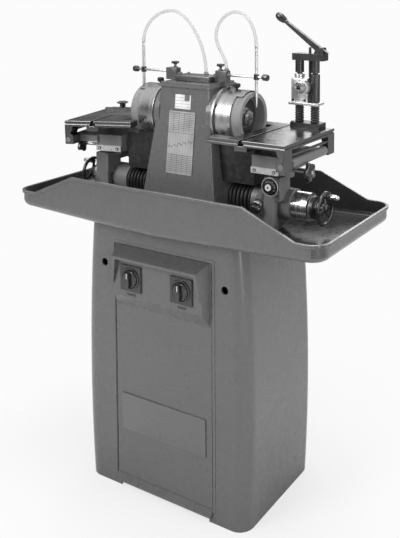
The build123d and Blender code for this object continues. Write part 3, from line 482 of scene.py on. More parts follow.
def zig_zag(ink, x, z, middle):
    """A rising saw-tooth line on a field of upright rules."""
    pitch, rise, start = 0.0085, 0.26, 0.2
    saw = ink.maths("PINGPONG", ink.maths("ADD", x, start), pitch)
    line = ink.maths("ADD", ink.maths("MULTIPLY", x, rise), saw)
    height = ink.maths("SUBTRACT", z, middle - 0.006)
    gap = ink.maths("ABSOLUTE", ink.maths("SUBTRACT", height, line))
    return any_of(ink, ink.maths("LESS_THAN", gap, 0.0012), stripes(ink, x, 0.0095, 0.0006, start))


def chart_marks(ink, x, z, low, top):
    """Two ruled tables with a zig-zag line between them, all in a border."""
    rows = {"top": (top - 0.058, top - 0.004), "middle": (top - 0.122, top - 0.062),
            "bottom": (low.z + 0.004, top - 0.126)}
    inner = ink.maths("LESS_THAN", ink.maths("ABSOLUTE", x), 0.044)
    marks = []
    for field, (bottom, ceiling) in rows.items():
        if field == "middle":
            ruled = zig_zag(ink, x, z, (bottom + ceiling) / 2)
        else:
            ruled = any_of(ink, stripes(ink, z, 0.0052, 0.0013),
                           stripes(ink, x, 0.0190, 0.0011, 0.2))
        marks.append(both_of(ink, between(ink, z, bottom, ceiling), inner, ruled))
        marks.append(between(ink, z, ceiling, ceiling + 0.0012))
    marks.append(ink.maths("GREATER_THAN", ink.maths("ABSOLUTE", x), 0.0462))
    return any_of(ink, *marks)


def rating_marks(ink, x, z, high):
    """A dark square in the corner, and ruled lines beside it."""
    corner = both_of(ink, ink.maths("GREATER_THAN", z, high.z - 0.017),
                     between(ink, x, 0.006, 0.024))
    lines = both_of(ink, stripes(ink, z, 0.009, 0.0008), ink.maths("LESS_THAN", x, 0.024))
    return any_of(ink, corner, lines)


def etched_plates(name, low, high):
    """The chart plate and the rating plate above it; low and high are corners in metres."""
    ink = Shader(name)
    spot = ink.parts(ink.spot())
    x, z = spot["X"], spot["Z"]
    chart_top = low.z + 0.180
    split = chart_top + 0.003
    chart = ink.maths("LESS_THAN", z, split)
    marks = both_of(ink, chart, chart_marks(ink, x, z, low, chart_top))
    rating = both_of(ink, ink.maths("GREATER_THAN", z, split), rating_marks(ink, x, z, high))
    grime = ink.noise(30, 5)
    tone = ink.mix(chart, ink.mix(grime, 0.66, 0.9), ink.mix(grime, 0.34, 0.52))
    marked = ink.maths("MULTIPLY", any_of(ink, marks, rating), 0.85)
    ink.set(Base_Color=ink.mix(marked, tone, 0.06), Metallic=0.35,
            Roughness=ink.span(grime, 0.32, 0.5), Normal=ink.bump(ink.noise(800, 2), 0.00003))
    return ink.material


SPINDLE_POINT, _ = joint_line("spindle_spin")
FEED_POINT, _ = joint_line("right_handwheel_turn")
COLLET_POINT, _ = joint_line("collet_turn")

PAINT = enamel("grey_enamel", 0.098)
COLUMN_PAINT = enamel("column_enamel", 0.122)
DOOR_PAINT = enamel("door_enamel", 0.094)
PANEL_PAINT = enamel("panel_enamel", 0.108, 0.3)
TRAY_PAINT = enamel("tray_enamel", 0.100, edge_light=0.8, painted_shade=tray_inside_shade)
CAST_PAINT = casting("cast_enamel", 0.16)
TANK_PAINT = enamel("tank_enamel", 0.2, 0.3, 0.0002)
WHITE_INLAY = enamel("white_inlay", 0.7, 0.3, 0.00001, 0.0)
GROUND = ground("ground_steel", 0.19)
BAR_STEEL = turned("bar_steel", 0.6, "X", FEED_POINT * MM)
GUARD_METAL = turned("guard_aluminium", 0.40, "X", SPINDLE_POINT * MM, (0.2, 0.34))
SLEEVE_METAL = turned("sleeve_steel", 0.7, "X", FEED_POINT * MM, (0.14, 0.26))
COLLET_METAL = turned("collet_steel", 0.5, "Y", COLLET_POINT * MM, (0.2, 0.34))
BRIGHT = worn_metal("bright_steel", 0.62, 0.8, 0.24, 1.0)
BEARING = worn_metal("bearing_chrome", 0.6, 0.8, 0.14, 1.0)
MILLED = worn_metal("milled_aluminium", 0.66, 0.85, 0.32, 0.85)
DARK_STEEL = worn_metal("blackened_steel", 0.07, 0.35)
VALVE_METAL = worn_metal("valve_steel", 0.17, 0.45, 0.36)
IRON = worn_metal("motor_laminations", 0.12, 0.3, 0.5)
BLACK = bakelite("black_bakelite")
BLACK_ENAMEL = bakelite("black_enamel", 0.014, 0.2)
RUBBER = black_rubber("bellows_rubber")
CHUTE_BLACK = black_rubber("chute_black")
CUP_BORE = 0.0615
WHEEL_GRIT = abrasive("wheel_grit", 0.27, SPINDLE_POINT * MM, CUP_BORE)
HOSE = clear_plastic("clear_hose_plastic")
PLATES = etched_plates("etched_plate_face", *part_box("instruction_plates"))

# The CAD nodes that stay: a material, the radius of their rounded edges, and the nodes.
FINISHES = (
    (PAINT, 1.2, "pedestal_shell"),
    (TRAY_PAINT, 1.6, "splash_tray"),
    (DOOR_PAINT, 0.8, "front_door"),
    (COLUMN_PAINT, 1.2, "column_housing"),
    (COLUMN_PAINT, 1.5, "column_cap"),
    (PLATES, 0.3, "instruction_plates"),
    (IRON, 0.5, "motor_stator"),
    (BEARING, 0.4, "spindle_bearings"),
    (GUARD_METAL, 0.7, "left_wheel_guard", "right_wheel_guard"),
    (TANK_PAINT, 2, "coolant_tank"),
    (TANK_PAINT, 1, "coolant_pump"),
    (BAR_STEEL, 0.5, "guide_bars", "spindle_shaft"),
    (BAR_STEEL, 0.4, "left_feed_screw", "right_feed_screw"),
    (BLACK, 0.8, "switch_plates"),
    (BRIGHT, 0.8, "wheel_flanges"),
    (WHEEL_GRIT, 0.8, "cup_wheels"),
    (CHUTE_BLACK, 0.8, "swarf_chutes"),
    (SLEEVE_METAL, 1, "left_feed_sleeve", "right_feed_sleeve"),
    (MILLED, 0.6, "left_clamp_plate", "right_clamp_plate"),
    (GROUND, 0.7, "left_table", "right_table"),
    (GROUND, 0.4, "mitre_gauge"),
    (GROUND, 0.6, "mitre_head"),
    (DARK_STEEL, 0.8, "fixture_base", "fixture_columns"),
    (DARK_STEEL, 1.2, "fixture_top_block", "fixture_lever"),
    (COLLET_METAL, 0.6, "fixture_collet"),
    (CAST_PAINT, 1.5, "left_carriage", "right_carriage", "left_cradle", "right_cradle"),
)


def dress_cad_nodes():
    """Procedural materials and rounded edges for the CAD nodes that stay in view."""
    for material, edge, *names in FINISHES:
        for name in names:
            dress(frame["nodes"][name], material, edge)


def dress(node, material, edge):
    for holder in node.material_slots:
        holder.material = material
    weld = node.modifiers.new("weld", "WELD")
    weld.merge_threshold = 0.00001
    bevel = node.modifiers.new("rounded_edges", "BEVEL")
    bevel.width = edge * MM
    bevel.segments = 2
    bevel.limit_method = "ANGLE"
    bevel.angle_limit = radians(40)
    smooth = node.modifiers.new("weighted_normals", "WEIGHTED_NORMAL")
    smooth.keep_sharp = True


# Bellows, boots and hoses

BELLOWS_BORE, BELLOWS_ROOT, FOLD_PITCH = 22, 32, 12.5
BOOT_BORE, BOOT_RIB, BOOT_FOLDS = 9.2, 3.4, 7


def bellows_profile(inner, root, crest, start, length, folds):
    """A ribbed wall: full crests and narrow valleys, with a bore through it."""
    profile = [(inner, start + length), (inner, start)]
    per_fold = 10
    for step in range(folds * per_fold + 1):
        wave = abs(sin(pi * step / per_fold)) ** 0.7
        profile.append((root + (crest - root) * wave, start + length * step / (folds * per_fold)))
    return profile


def feed_bellows():
    """Rubber bellows between the column's boss and each carriage."""
    for side, sign in SIDES.items():
        node = f"{side}_bellows"
        low, high = box(node)
        near, far = sorted((abs(low.x), abs(high.x)))
        folds = round((far - near) / FOLD_PITCH)
        bm = bmesh.new()
        crest = (high.z - low.z) / 2
        profile = bellows_profile(BELLOWS_BORE, BELLOWS_ROOT, crest, near, far - near, folds)
        turn(bm, profile, (0, 0, FEED_POINT.z), (sign, 0, 0), 64, closed=True)
        made = piece(f"{node}_folds", bm, RUBBER, None, (node,), 70)
        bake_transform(made)


def fixture_boots():
    """Ribbed boots over the two springs under the drill fixture's slide."""
    low, high = box("fixture_springs")
    radius = (high.y - low.y) / 2
    middle_y = (low.y + high.y) / 2
    for side, x in (("left", low.x + radius), ("right", high.x - radius)):
        bm = bmesh.new()
        profile = bellows_profile(BOOT_BORE, radius - BOOT_RIB, radius, 0, high.z - low.z, BOOT_FOLDS)
        turn(bm, profile, (x, middle_y, low.z), UP, 40, closed=True)
        made = piece(f"fixture_{side}_boot", bm, RUBBER, None, ("fixture_springs",), 70)
        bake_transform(made)


def curve(points, handles, steps):
    """Points along a run of cubic curves."""
    line = []
    for (start, end), (leave, arrive) in zip(zip(points, points[1:]), zip(handles, handles[1:])):
        first, last = start + leave, end - arrive
        for step in range(steps):
            t = step / steps
            line.append(start * (1 - t) ** 3 + first * 3 * t * (1 - t) ** 2
                        + last * 3 * t ** 2 * (1 - t) + end * t ** 3)
    line.append(points[-1])
    return line


HOSE_R, HOSE_BORE = 5, 3.6
# Each hose: its foot and the points it passes, above the manifold, and its lean at each.
HOSE_WAYS = {
    "left": [((17, 20, 0), (0, 0, 100)), ((-100, 8, 190), (-52, -4, 0))],
    "right": [((104, 0, 18), (2, 0, 40)), ((64, 6, 112), (-6, 0, 40)), ((134, 6, 190), (36, 0, 0))],
}


def coolant_hoses():
    """Clear hoses that loop over to the nozzle tubes, from the manifold and the right valve."""
    foot_z = box("coolant_fittings")[0].z + MANIFOLD_HEIGHT
    for side, sign in SIDES.items():
        _, arm_high = box(f"{side}_nozzle_arm")
        end = Vector((sign * NOZZLE_X, 0, arm_high.z - HOSE_OVERLAP))
        points = [Vector((x, y, foot_z + z)) for (x, y, z), _ in HOSE_WAYS[side]] + [end]
        handles = [Vector(lean) for _, lean in HOSE_WAYS[side]] + [Vector((0, 0, -62))]
        bm = bmesh.new()
        pipe(bm, curve(points, handles, 24), HOSE_R, HOSE_BORE)
        made = piece(f"{side}_coolant_hose", bm, HOSE, None, ("coolant_hoses",))
        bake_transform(made)


# Coolant fittings

ARM_Z = JOINTS["right_nozzle_swing"]["pos_m"][2] / MM
ARM_KNOB_END = 40
FITTINGS = ("coolant_fittings",)
NOZZLE_X = box("right_nozzle_arm")[1].x - ARM_KNOB_END
HOSE_OVERLAP = 12
MANIFOLD_HEIGHT = 18
MANIFOLD_HALF_X, MANIFOLD_HALF_Y = 62, 30
MANIFOLD_SCREW_X, MANIFOLD_SCREW_Y = 48, 20
VALVE_X = 83
VALVE_HALF_Y = 12
VALVE_KNOB_HEIGHT = 10.8
CAP_GAP = 0.1


def lobed(count, depth):
    """A ripple of round lobes, for hand knobs."""
    return lambda angle, radius: depth * (cos(count * angle) - 1) / 2 if radius > depth * 2 else 0


def knurled(count, depth):
    """A fine saw-tooth ripple, for knurled rims."""
    return lambda angle, radius: depth * abs(((angle * count / (2 * pi)) % 1) - 0.5) * -2 + depth / 2


def manifold():
    """Box on the column's cap with four screws and the left hose's nut."""
    low, _ = box("coolant_fittings")
    floor, top = low.z + CAP_GAP, low.z + MANIFOLD_HEIGHT
    bm = bmesh.new()
    brick(bm, (-MANIFOLD_HALF_X, -MANIFOLD_HALF_Y, floor), (MANIFOLD_HALF_X, MANIFOLD_HALF_Y, top), 2)
    for x in (-MANIFOLD_SCREW_X, MANIFOLD_SCREW_X):
        for y in (-MANIFOLD_SCREW_Y, MANIFOLD_SCREW_Y):
            rod(bm, (x, y, top - 1), (x, y, top + 4), 4, 0.8, 24)
    (x, y, _), _ = HOSE_WAYS["left"][0]
    hose_nut(bm, (x, y, top - 1))
    piece("coolant_manifold", bm, VALVE_METAL, "stand", FITTINGS)


def valves():
    """Valve block at each end of the manifold, with its gland, arm nut and black hand knob."""
    low, high = box("coolant_fittings")
    floor, top = low.z + CAP_GAP, low.z + MANIFOLD_HEIGHT
    for side, sign in SIDES.items():
        x = sign * VALVE_X
        bm = bmesh.new()
        near, far = sorted((x - sign * 12, x + sign * 27))
        brick(bm, (near, -VALVE_HALF_Y, floor), (far, VALVE_HALF_Y, top + 18), 1.4)
        if side == "right":
            hose_nut(bm, (x + 21, 0, top + 17))
        near, far = sorted((sign * 62.5, sign * 72))
        brick(bm, (near, -9, floor), (far, 9, low.z + 22), 1)
        rod(bm, (x, 0, top + 17), (x, 0, top + 21), 9, 1, 6)
        rod(bm, (sign * 109, 0, ARM_Z), (sign * 114, 0, ARM_Z), 8, 1, 6)
        rod(bm, (x, 0, top + 20), (x, 0, top + 29), 3.5, 0.4)
        piece(f"{side}_valve_block", bm, VALVE_METAL, "stand", FITTINGS)
        bm = bmesh.new()
        profile = [(0, 0), (6.5, 0), (5.5, 2.5), (12.5, 3.5), (12.5, 9.8), (0, VALVE_KNOB_HEIGHT)]
        turn(bm, soften(profile, 1.4), (x, 0, high.z - VALVE_KNOB_HEIGHT), UP, 60, lobed(6, 2.4))
        piece(f"{side}_valve_knob", bm, BLACK, "stand", FITTINGS)


def hose_nut(bm, foot):
    """A hexagon nut with a collar, at the foot of a hose."""
    profile = [(0, 0), (9, 0), (9, 5), (6.6, 6.5), (6.6, 9), (0, 9)]
    turn(bm, soften(profile, 0.8), foot, UP, 6)


def nozzle_arms():
    """Bright arm, its black end knob, the clamp and the nozzle tube with its narrow tip."""
    for side, sign in SIDES.items():
        node, body = f"{side}_nozzle_arm", f"{side}_nozzle"
        low, high = box(node)
        x = sign * NOZZLE_X
        bm = bmesh.new()
        rod(bm, (sign * 80, 0, ARM_Z), (x + sign * 21, 0, ARM_Z), 4, 0.8)
        piece(f"{node}_rod", bm, BRIGHT, body, (node,))
        bm = bmesh.new()
        knob = [(0, 19), (6, 19), (6.5, 22), (9.5, 23), (9.5, 37.5), (8, 39.6), (0, 39.6)]
        turn(bm, soften(knob, 1), (x, 0, ARM_Z), (sign, 0, 0), 48, lobed(8, 0.9))
        clamp = [(4.6, 0), (4.6, -8), (8, -8), (8, 8), (4.6, 8), (4.6, 0)]
        turn(bm, soften(clamp, 0.8)[:-1], (x, 0, ARM_Z), UP, 36, closed=True)
        piece(f"{node}_clamp", bm, BLACK, body, (node,))
        bm = bmesh.new()
        tip = low.z
        corners = [(3.1, high.z - tip - 4), (3.1, high.z - tip), (4.5, high.z - tip), (4.5, 26),
                   (2.6, 5), (2.6, 0), (1.6, 0), (1.6, 6), (3.1, 26)]
        turn(bm, corners, (x, 0, tip), UP, 32, closed=True)
        collar = soften([(4.4, 0), (5.6, 1), (5.6, 3), (4.4, 4)], 0.6)
        for height in (high.z - 20, high.z - 6):
            turn(bm, collar, (x, 0, height), UP, 32, closed=True)
        piece(f"{node}_tube", bm, MILLED, body, (node,))


GUARD_FACE = 112
GUARD_SCREW_RING = 83.5
GUARD_KNOB_X, GUARD_KNOB_FOOT = 140, 75


def guard_hardware():
    """Slotted screws round each guard flange, and a knurled thumb screw on each drum."""
    bm = bmesh.new()
    for sign in SIDES.values():
        for clock in range(30, 390, 60):
            y = GUARD_SCREW_RING * cos(radians(clock))
            z = SPINDLE_POINT.z + GUARD_SCREW_RING * sin(radians(clock))
            screw_head(bm, Vector((sign * GUARD_FACE, y, z)), (sign, 0, 0), 3.0, 2.4, clock)
    piece("guard_screws", bm, DARK_STEEL, "stand", ("guard_fasteners",))
    for side, sign in SIDES.items():
        bm = bmesh.new()
        foot = Vector((sign * GUARD_KNOB_X, 0, SPINDLE_POINT.z + GUARD_KNOB_FOOT))
        profile = [(0, 0), (3, 0), (3, 9), (7, 9.5), (7, 12), (10, 12.5), (10, 21), (8.6, 23), (0, 23)]
        turn(bm, soften(profile, 0.9), foot, UP, 72, knurled(24, 1.0))
        piece(f"{side}_guard_knob", bm, BLACK, "stand", ("guard_fasteners",))


def screw_head(bm, place, axis, radius, height, slot_turn):
    """Two half-round cheeks with a slot between them."""
    slot_share = 0.16
    axis = Vector(axis).normalized()
    side, up = across(axis)
    tilt = radians(slot_turn + 20)
    along = side * cos(tilt) + up * sin(tilt)
    cross = axis.cross(along)
    half, lean = radius * slot_share, asin(slot_share)
    for sign in (-1, 1):
        outline = [(radius * cos(a), sign * radius * sin(a))
                   for a in (lean + (pi - 2 * lean) * k / 10 for k in range(11))]
        if sign < 0:
            outline.reverse()
        slab(bm, outline, place, along, cross, height, radius * 0.18)
    slab(bm, [(-radius * 0.97, -half), (radius * 0.97, -half), (radius * 0.97, half),
              (-radius * 0.97, half)], place, along, cross, height * 0.45)


# Hand controls

def ticks(bm, centre, axis, radius, start, end, count):
    """Raised graduation lines round a dial, every fifth one longer."""
    width, depth, sunk = 0.7, 0.35, 0.2
    centre, axis = Vector(centre), Vector(axis).normalized()
    side, up = across(axis)
    for index in range(count):
        angle = 2 * pi * index / count
        out = side * cos(angle) + up * sin(angle)
        cross = axis.cross(out)
        reach = end if index % 5 == 0 else start + (end - start) * 0.6
        corners = [(-width / 2, start), (width / 2, start), (width / 2, reach), (-width / 2, reach)]
        slab(bm, corners, centre + out * (radius - sunk), cross, axis, depth + sunk)


RIM_R, RIM_SECTION_R = 44, 5.2
DIAL_R = 32


def handwheels():
    """Black three-spoke wheel with a round rim, its graduated dial and the crank pin."""
    for side in SIDES:
        body = node = f"{side}_handwheel"
        centre, axis = joint_line(f"{side}_handwheel_turn")
        crank, _ = joint_line(f"{side}_grip_spin")
        crank.x = centre.x
        low, high = box(node)
        dial = min(abs(low.x), abs(high.x)) - abs(centre.x)
        wheel_rim(node, body, centre, axis, crank)
        bm = bmesh.new()
        collar = [(6.2, dial), (DIAL_R, dial), (DIAL_R, dial + 13.5), (20, dial + 14.5), (20, -9),
                  (6.2, -9)]
        turn(bm, soften(collar, 1.2), centre, axis, 72, closed=True)
        piece(f"{node}_dial", bm, DARK_STEEL, body, (node,))
        bm = bmesh.new()
        ticks(bm, centre, axis, DIAL_R, dial + 1, dial + 8, 50)
        piece(f"{node}_graduations", bm, WHITE_INLAY, body, ())
        bm = bmesh.new()
        pin = [(0, 0), (4, 0), (4, 35), (6.2, 35.2), (6.2, 36.6), (4.5, 38), (0, 38)]
        turn(bm, soften(pin, 0.5), crank, axis, 24)
        piece(f"{side}_crank_pin", bm, BRIGHT, body, (node,))
        crank_grip(side, crank, axis)


def wheel_rim(node, body, centre, axis, crank):
    """Round rim, hub, three spokes and the crank's boss, in one casting."""
    bm = bmesh.new()
    rim = [(RIM_R + RIM_SECTION_R * cos(a), RIM_SECTION_R * sin(a))
           for a in (2 * pi * k / 18 for k in range(18))]
    turn(bm, rim, centre, axis, 72, closed=True)
    hub = [(6.2, -14), (13, -14), (14, -6), (12, 6), (9.5, 10), (6.2, 10)]
    turn(bm, soften(hub, 2), centre, axis, 40, closed=True)
    towards_crank = (crank - centre).normalized()
    for third in range(3):
        out = Matrix.Rotation(radians(120 * third), 3, axis) @ towards_crank
        spoke(bm, centre, axis, out)
    boss = [(0, -5), (7.5, -5), (7.5, 5), (5.6, 6.6), (0, 6.6)]
    turn(bm, soften(boss, 1.5), crank, axis, 32)
    piece(f"{node}_rim", bm, BLACK_ENAMEL, body, (node,))


def spoke(bm, centre, axis, out):
    """A tapered, slightly dished arm from the hub to the rim."""
    cross = axis.cross(out)
    rings = []
    for step in range(9):
        part = step / 8
        reach, dish = 9 + 34 * part, -2.5 * sin(pi * part)
        wide, thick = 6.2 - 2.2 * part, 4.2 - 1.2 * part
        middle = centre + out * reach + axis * dish
        rings.append([bm.verts.new(middle + cross * wide * cos(a) + axis * thick * sin(a))
                      for a in (2 * pi * k / 14 for k in range(14))])
    skin(bm, rings)
    bm.faces.new(rings[0][::-1])
    bm.faces.new(rings[-1])


def crank_grip(side, crank, axis):
    """Barrel-shaped bright handle that turns on the crank pin."""
    node = f"{side}_crank_grip"
    bm = bmesh.new()
    bore = 4.1
    barrel = [(bore, 7.2), (5.6, 7.2), (6.4, 9), (7.6, 18), (7.4, 26), (6.2, 32.5), (5, 34.4),
              (bore, 34.4)]
    turn(bm, soften(barrel, 2.2), crank, axis, 32, closed=True)
    piece(node + "_barrel", bm, BRIGHT, f"{side}_grip", (node,))


# How far each clamp knob's stud reaches in behind the joint's point.
STUD_ROOTS = {"left": 59, "right": 34}


def star_knobs():
    """Five-lobed black clamp knobs at the outer face of each cradle."""
    for side in SIDES:
        node = f"{side}_star_knob"
        centre, axis = joint_line(f"{side}_star_knob_turn")
        bm = bmesh.new()
        profile = [(0, 44), (10, 44), (10, 46.5), (25, 47.5), (29.5, 50), (29.5, 57), (25, 60.5),
                   (11, 61.5), (10, 62.3), (0, 62.3)]
        turn(bm, soften(profile, 2), centre, axis, 100, lobed(5, 8.5))
        piece(f"{node}_lobes", bm, BLACK, node, (node,))
        bm = bmesh.new()
        rod(bm, centre - axis * STUD_ROOTS[side], centre + axis * 45, 5, 0.6)
        turn(bm, soften([(0, 62), (5.5, 62), (5.5, 63.6), (0, 64.2)], 0.6), centre, axis, 24)
        piece(f"{node}_stud", bm, BRIGHT, node, (node,))


def swivel_knobs():
    """Dial and fluted knob of each swivel worm, with a bright cap ring and dark centre."""
    for side, sign in SIDES.items():
        node = f"{side}_swivel_knob"
        centre, _ = joint_line(f"{side}_swivel_knob_turn")
        axis = Vector((0, -sign, 0))
        foot = Vector((centre.x, 0, centre.z))
        bm = bmesh.new()
        turn(bm, soften([(0, 34), (6, 34), (6, 83.6), (26, 84), (27.4, 85), (27.4, 90.6), (25, 92.4),
                         (0, 92.4)], 0.8), foot, axis, 72)
        piece(f"{node}_dial", bm, DARK_STEEL, node, (node,))
        bm = bmesh.new()
        ticks(bm, foot, axis, 27.4, 85.2, 90, 40)
        sleeve(bm, foot + axis * 91.8, foot + axis * 92.8, 25.6, 24.4, 0.2, 60)
        piece(f"{node}_graduations", bm, WHITE_INLAY, node, ())
        bm = bmesh.new()
        turn(bm, soften([(0, 91.5), (22, 91.5), (21, 94), (20, 98), (16, 101), (0, 101)], 1.6), foot,
             axis, 96, lobed(12, 2.0))
        turn(bm, soften([(0, 100.5), (2.6, 100.5), (2.6, 103), (0, 103.4)], 0.6), foot, axis, 24)
        piece(f"{node}_grip", bm, BLACK, node, (node,))
        bm = bmesh.new()
        sleeve(bm, foot + axis * 100.4, foot + axis * 103.9, 9.2, 3.2, 0.9, 40)
        piece(f"{node}_cap", bm, WHITE_INLAY, node, (node,))


def lock_knobs():
    """Small black knob behind a bright knurled collar, on a sloping screw."""
    for side in SIDES:
        node = f"{side}_lock_knob"
        centre, axis = joint_line(f"{side}_lock_knob_turn")
        bm = bmesh.new()
        turn(bm, soften([(0, -3.8), (5, -3.8), (5, 25), (12, 25.4), (13.4, 27), (13.4, 35.6),
                         (11, 38), (0, 38)], 0.8), centre, axis, 96, knurled(32, 0.9))
        piece(f"{node}_collar", bm, BRIGHT, node, (node,))
        bm = bmesh.new()
        turn(bm, soften([(0, 37.6), (9, 37.6), (16.5, 41), (17.4, 48), (15.4, 57), (6, 61.4),
                         (0, 61.8)], 3), centre, axis, 64, lobed(8, 1.2))
        piece(f"{node}_grip", bm, BLACK, node, (node,))


SWITCH_KNOB_HEIGHT = 17


def switch_knobs():
    """Round base and a tapered grip bar with a white pointer line."""
    for side in SIDES:
        node, body = f"{side}_switch_knob", f"{side}_switch"
        centre, _ = joint_line(f"{side}_switch_turn")
        low, _ = box(node)
        x, z = centre.x, centre.z
        base = low.y + SWITCH_KNOB_HEIGHT
        out = Vector((0, -1, 0))
        bm = bmesh.new()
        turn(bm, soften([(0, -8), (4, -8), (4, -0.3), (25, 0), (25, 4), (22.5, 7), (0, 8)], 1.4),
             (x, base, z), out, 64)
        outline = [(-6.2, -22), (6.2, -22), (7, -8), (5, 23), (0, 24.2), (-5, 23), (-7, -8)]
        slab(bm, outline, (x, base - 5, z), (1, 0, 0), UP, 11.8, 1.8)
        piece(f"{node}_grip", bm, BLACK, body, (node,))
        bm = bmesh.new()
        brick(bm, (x - 1.2, low.y - 0.2, z + 4), (x + 1.2, low.y + 1, z + 20), 0.25)
        piece(f"{node}_pointer", bm, WHITE_INLAY, body, ())


COLUMN_R = 13
SLIDE_HEIGHT = 90
SLIDE_BORE = 8.2


def fixture_slide():
    """Milled block round the near column, a dark guide on the far one, and a flange below both."""
    node = "fixture_slide"
    low, high = box(node)
    rails_low, rails_high = box("fixture_columns")
    middle_y = (rails_low.y + rails_high.y) / 2
    near_x, far_x = rails_low.x + COLUMN_R, rails_high.x - COLUMN_R
    floor, top = low.z, low.z + SLIDE_HEIGHT
    bm = bmesh.new()
    brick(bm, (near_x - 18, middle_y - 20, floor + 6), (near_x + 35, middle_y + 20, top - 12), 3)
    brick(bm, (low.x, middle_y - 26, floor), (far_x + 20, middle_y + 20, floor + 8), 1.5)
    brick(bm, (near_x - 12, middle_y - 23, top - 34), (near_x + 4, middle_y - 18, top - 14), 1.2)
    sleeve(bm, (near_x, middle_y, floor + 4), (near_x, middle_y, top), 15, SLIDE_BORE, 1)
    sleeve(bm, (COLLET_POINT.x, middle_y - 36, COLLET_POINT.z),
           (COLLET_POINT.x, middle_y - 16, COLLET_POINT.z), 24, 11.2, 1.5, 64)
    piece(f"{node}_block", bm, MILLED, node, (node,))
    bm = bmesh.new()
    sleeve(bm, (far_x, middle_y, floor + 2), (far_x, middle_y, top), 14, SLIDE_BORE, 1)
    brick(bm, (near_x + 33, middle_y - 9, floor + 22), (far_x - 11, middle_y + 9, floor + 40), 1)
    brick(bm, (near_x + 33, middle_y - 9, top - 34), (far_x - 11, middle_y + 9, top - 18), 1)
    rod(bm, (far_x, middle_y - 24, top - 26), (far_x, middle_y - 12, top - 26), 5, 1)
    rod(bm, (near_x + 34, middle_y, top - 20), (near_x + 34, middle_y, high.z), 4, 0.6)
    piece(f"{node}_guide", bm, DARK_STEEL, node, (node,))
    bm = bmesh.new()
    for x, z in ((near_x - 12, floor + 14), (near_x + 27, floor + 14), (near_x + 27, top - 20)):
        cap_screw(bm, (x, middle_y - 19.6, z), (0, -1, 0), 3.6, 2.4)
    piece(f"{node}_screws", bm, BLACK, node, ())


HINGE_DEPTH = 7
PLATE_HALF_X, PLATE_LOW, PLATE_HIGH = 150.4, 183.6, 292.4


def door_panel():
    """The raised blank plate on the door, with its rounded border."""
    front = JOINTS["door_hinge"]["pos_m"][1] / MM - HINGE_DEPTH
    bm = bmesh.new()
    brick(bm, (-PLATE_HALF_X, front - 1.2, PLATE_LOW), (PLATE_HALF_X, front + 0.4, PLATE_HIGH), 0.7)
    piece("door_blank_plate", bm, PANEL_PAINT, "door", ())


def mitre_knob():
    """Mushroom clamp knob: thin brim over a round body."""
    centre, axis = joint_line("mitre_knob_turn")
    _, high = box("mitre_knob")
    top = (high.z - centre.z) / axis.z
    bm = bmesh.new()
    profile = [(0, top - 27), (5, top - 27), (5, top - 22), (8.5, top - 20), (10, top - 14),
               (8.5, top - 9), (15, top - 8), (18.6, top - 6), (18.6, top - 3.4), (13, top - 1),
               (0, top - 0.6)]
    turn(bm, soften(profile, 1.6), centre, axis, 56)
    piece("mitre_knob_cap", bm, BLACK, "mitre_knob", ("mitre_knob",))


def lever_knob():
    """Oval knob on the fixture lever's end."""
    low, high = box("lever_knob")
    pivot, _ = joint_line("fixture_lever_turn")
    middle = (low + high) / 2
    along = (middle - Vector((pivot.x, middle.y, pivot.z))).normalized()
    half, radius = 21, 12.2
    bm = bmesh.new()
    profile = [(0, -half)]
    for step in range(1, 20):
        angle = pi * step / 20
        distance = -half * cos(angle)
        taper = 1 + 0.14 * distance / half
        profile.append((radius * sin(angle) ** 0.85 * taper, distance))
    profile.append((0, half))
    turn(bm, profile, middle, along, 40)
    sleeve(bm, middle - along * (half + 3), middle - along * (half - 5), 6.4, 3, 1, 32)
    piece("lever_oval_knob", bm, BLACK, "fixture_lever", ("lever_knob",))


# The clamp plates' screws, drawn for the right cradle: X per side, then Y and Z.
CLAMP_SCREWS = {"left": (232, 293), "right": (257, 318)}
CLAMP_FACE, CLAMP_SCREW_Z = -93.5, 993.5


def clamp_screws():
    """Black cap screws on the clamp plates."""
    for side in SIDES:
        bm = bmesh.new()
        swing = station_swing(side)
        for x in CLAMP_SCREWS[side]:
            place = swing @ Vector((x, CLAMP_FACE, CLAMP_SCREW_Z))
            cap_screw(bm, place, swing.to_3x3() @ Vector((0, -1, 0)), 4.8, 2.6)
        piece(f"{side}_clamp_screws", bm, BLACK, f"{side}_cradle", ())


def station_swing(side):
    """Carries a point drawn for the right cradle over to a side's cradle."""
    if side == "right":
        return Matrix.Identity(4)
    right_point, _ = joint_line("right_swivel")
    left_point, _ = joint_line("left_swivel")
    _, spin = joint_line("left_star_knob_turn")
    turn_by = atan2(spin.y, spin.x) - pi
    mirror = Matrix.Scale(-1, 4, (1, 0, 0))
    return (Matrix.Translation((left_point.x, 0, 0)) @ Matrix.Rotation(turn_by, 4, "Z") @ mirror
            @ Matrix.Translation((-right_point.x, 0, 0)))


def cap_screw(bm, place, axis, radius, height):
    """A round head with a hexagon socket."""
    place, axis = Vector(place), Vector(axis).normalized()
    socket = radius * 0.5
    profile = [(socket, 0.4), (radius, 0), (radius, height), (socket, height),
               (socket, height * 0.3), (0, height * 0.3)]
    turn(bm, soften(profile, 0.4, 2), place, axis, 24)


# Floor, lights and camera

BACKDROP = 0.97
FILL = 0.42
# What reflections see of the studio: brightness from straight down to straight up.
STUDIO_BANDS = ((0.0, 0.55), (0.40, 0.45), (0.50, 0.10), (0.60, 0.16), (0.72, 0.65),
                (0.86, 1.3), (1.0, 0.9))


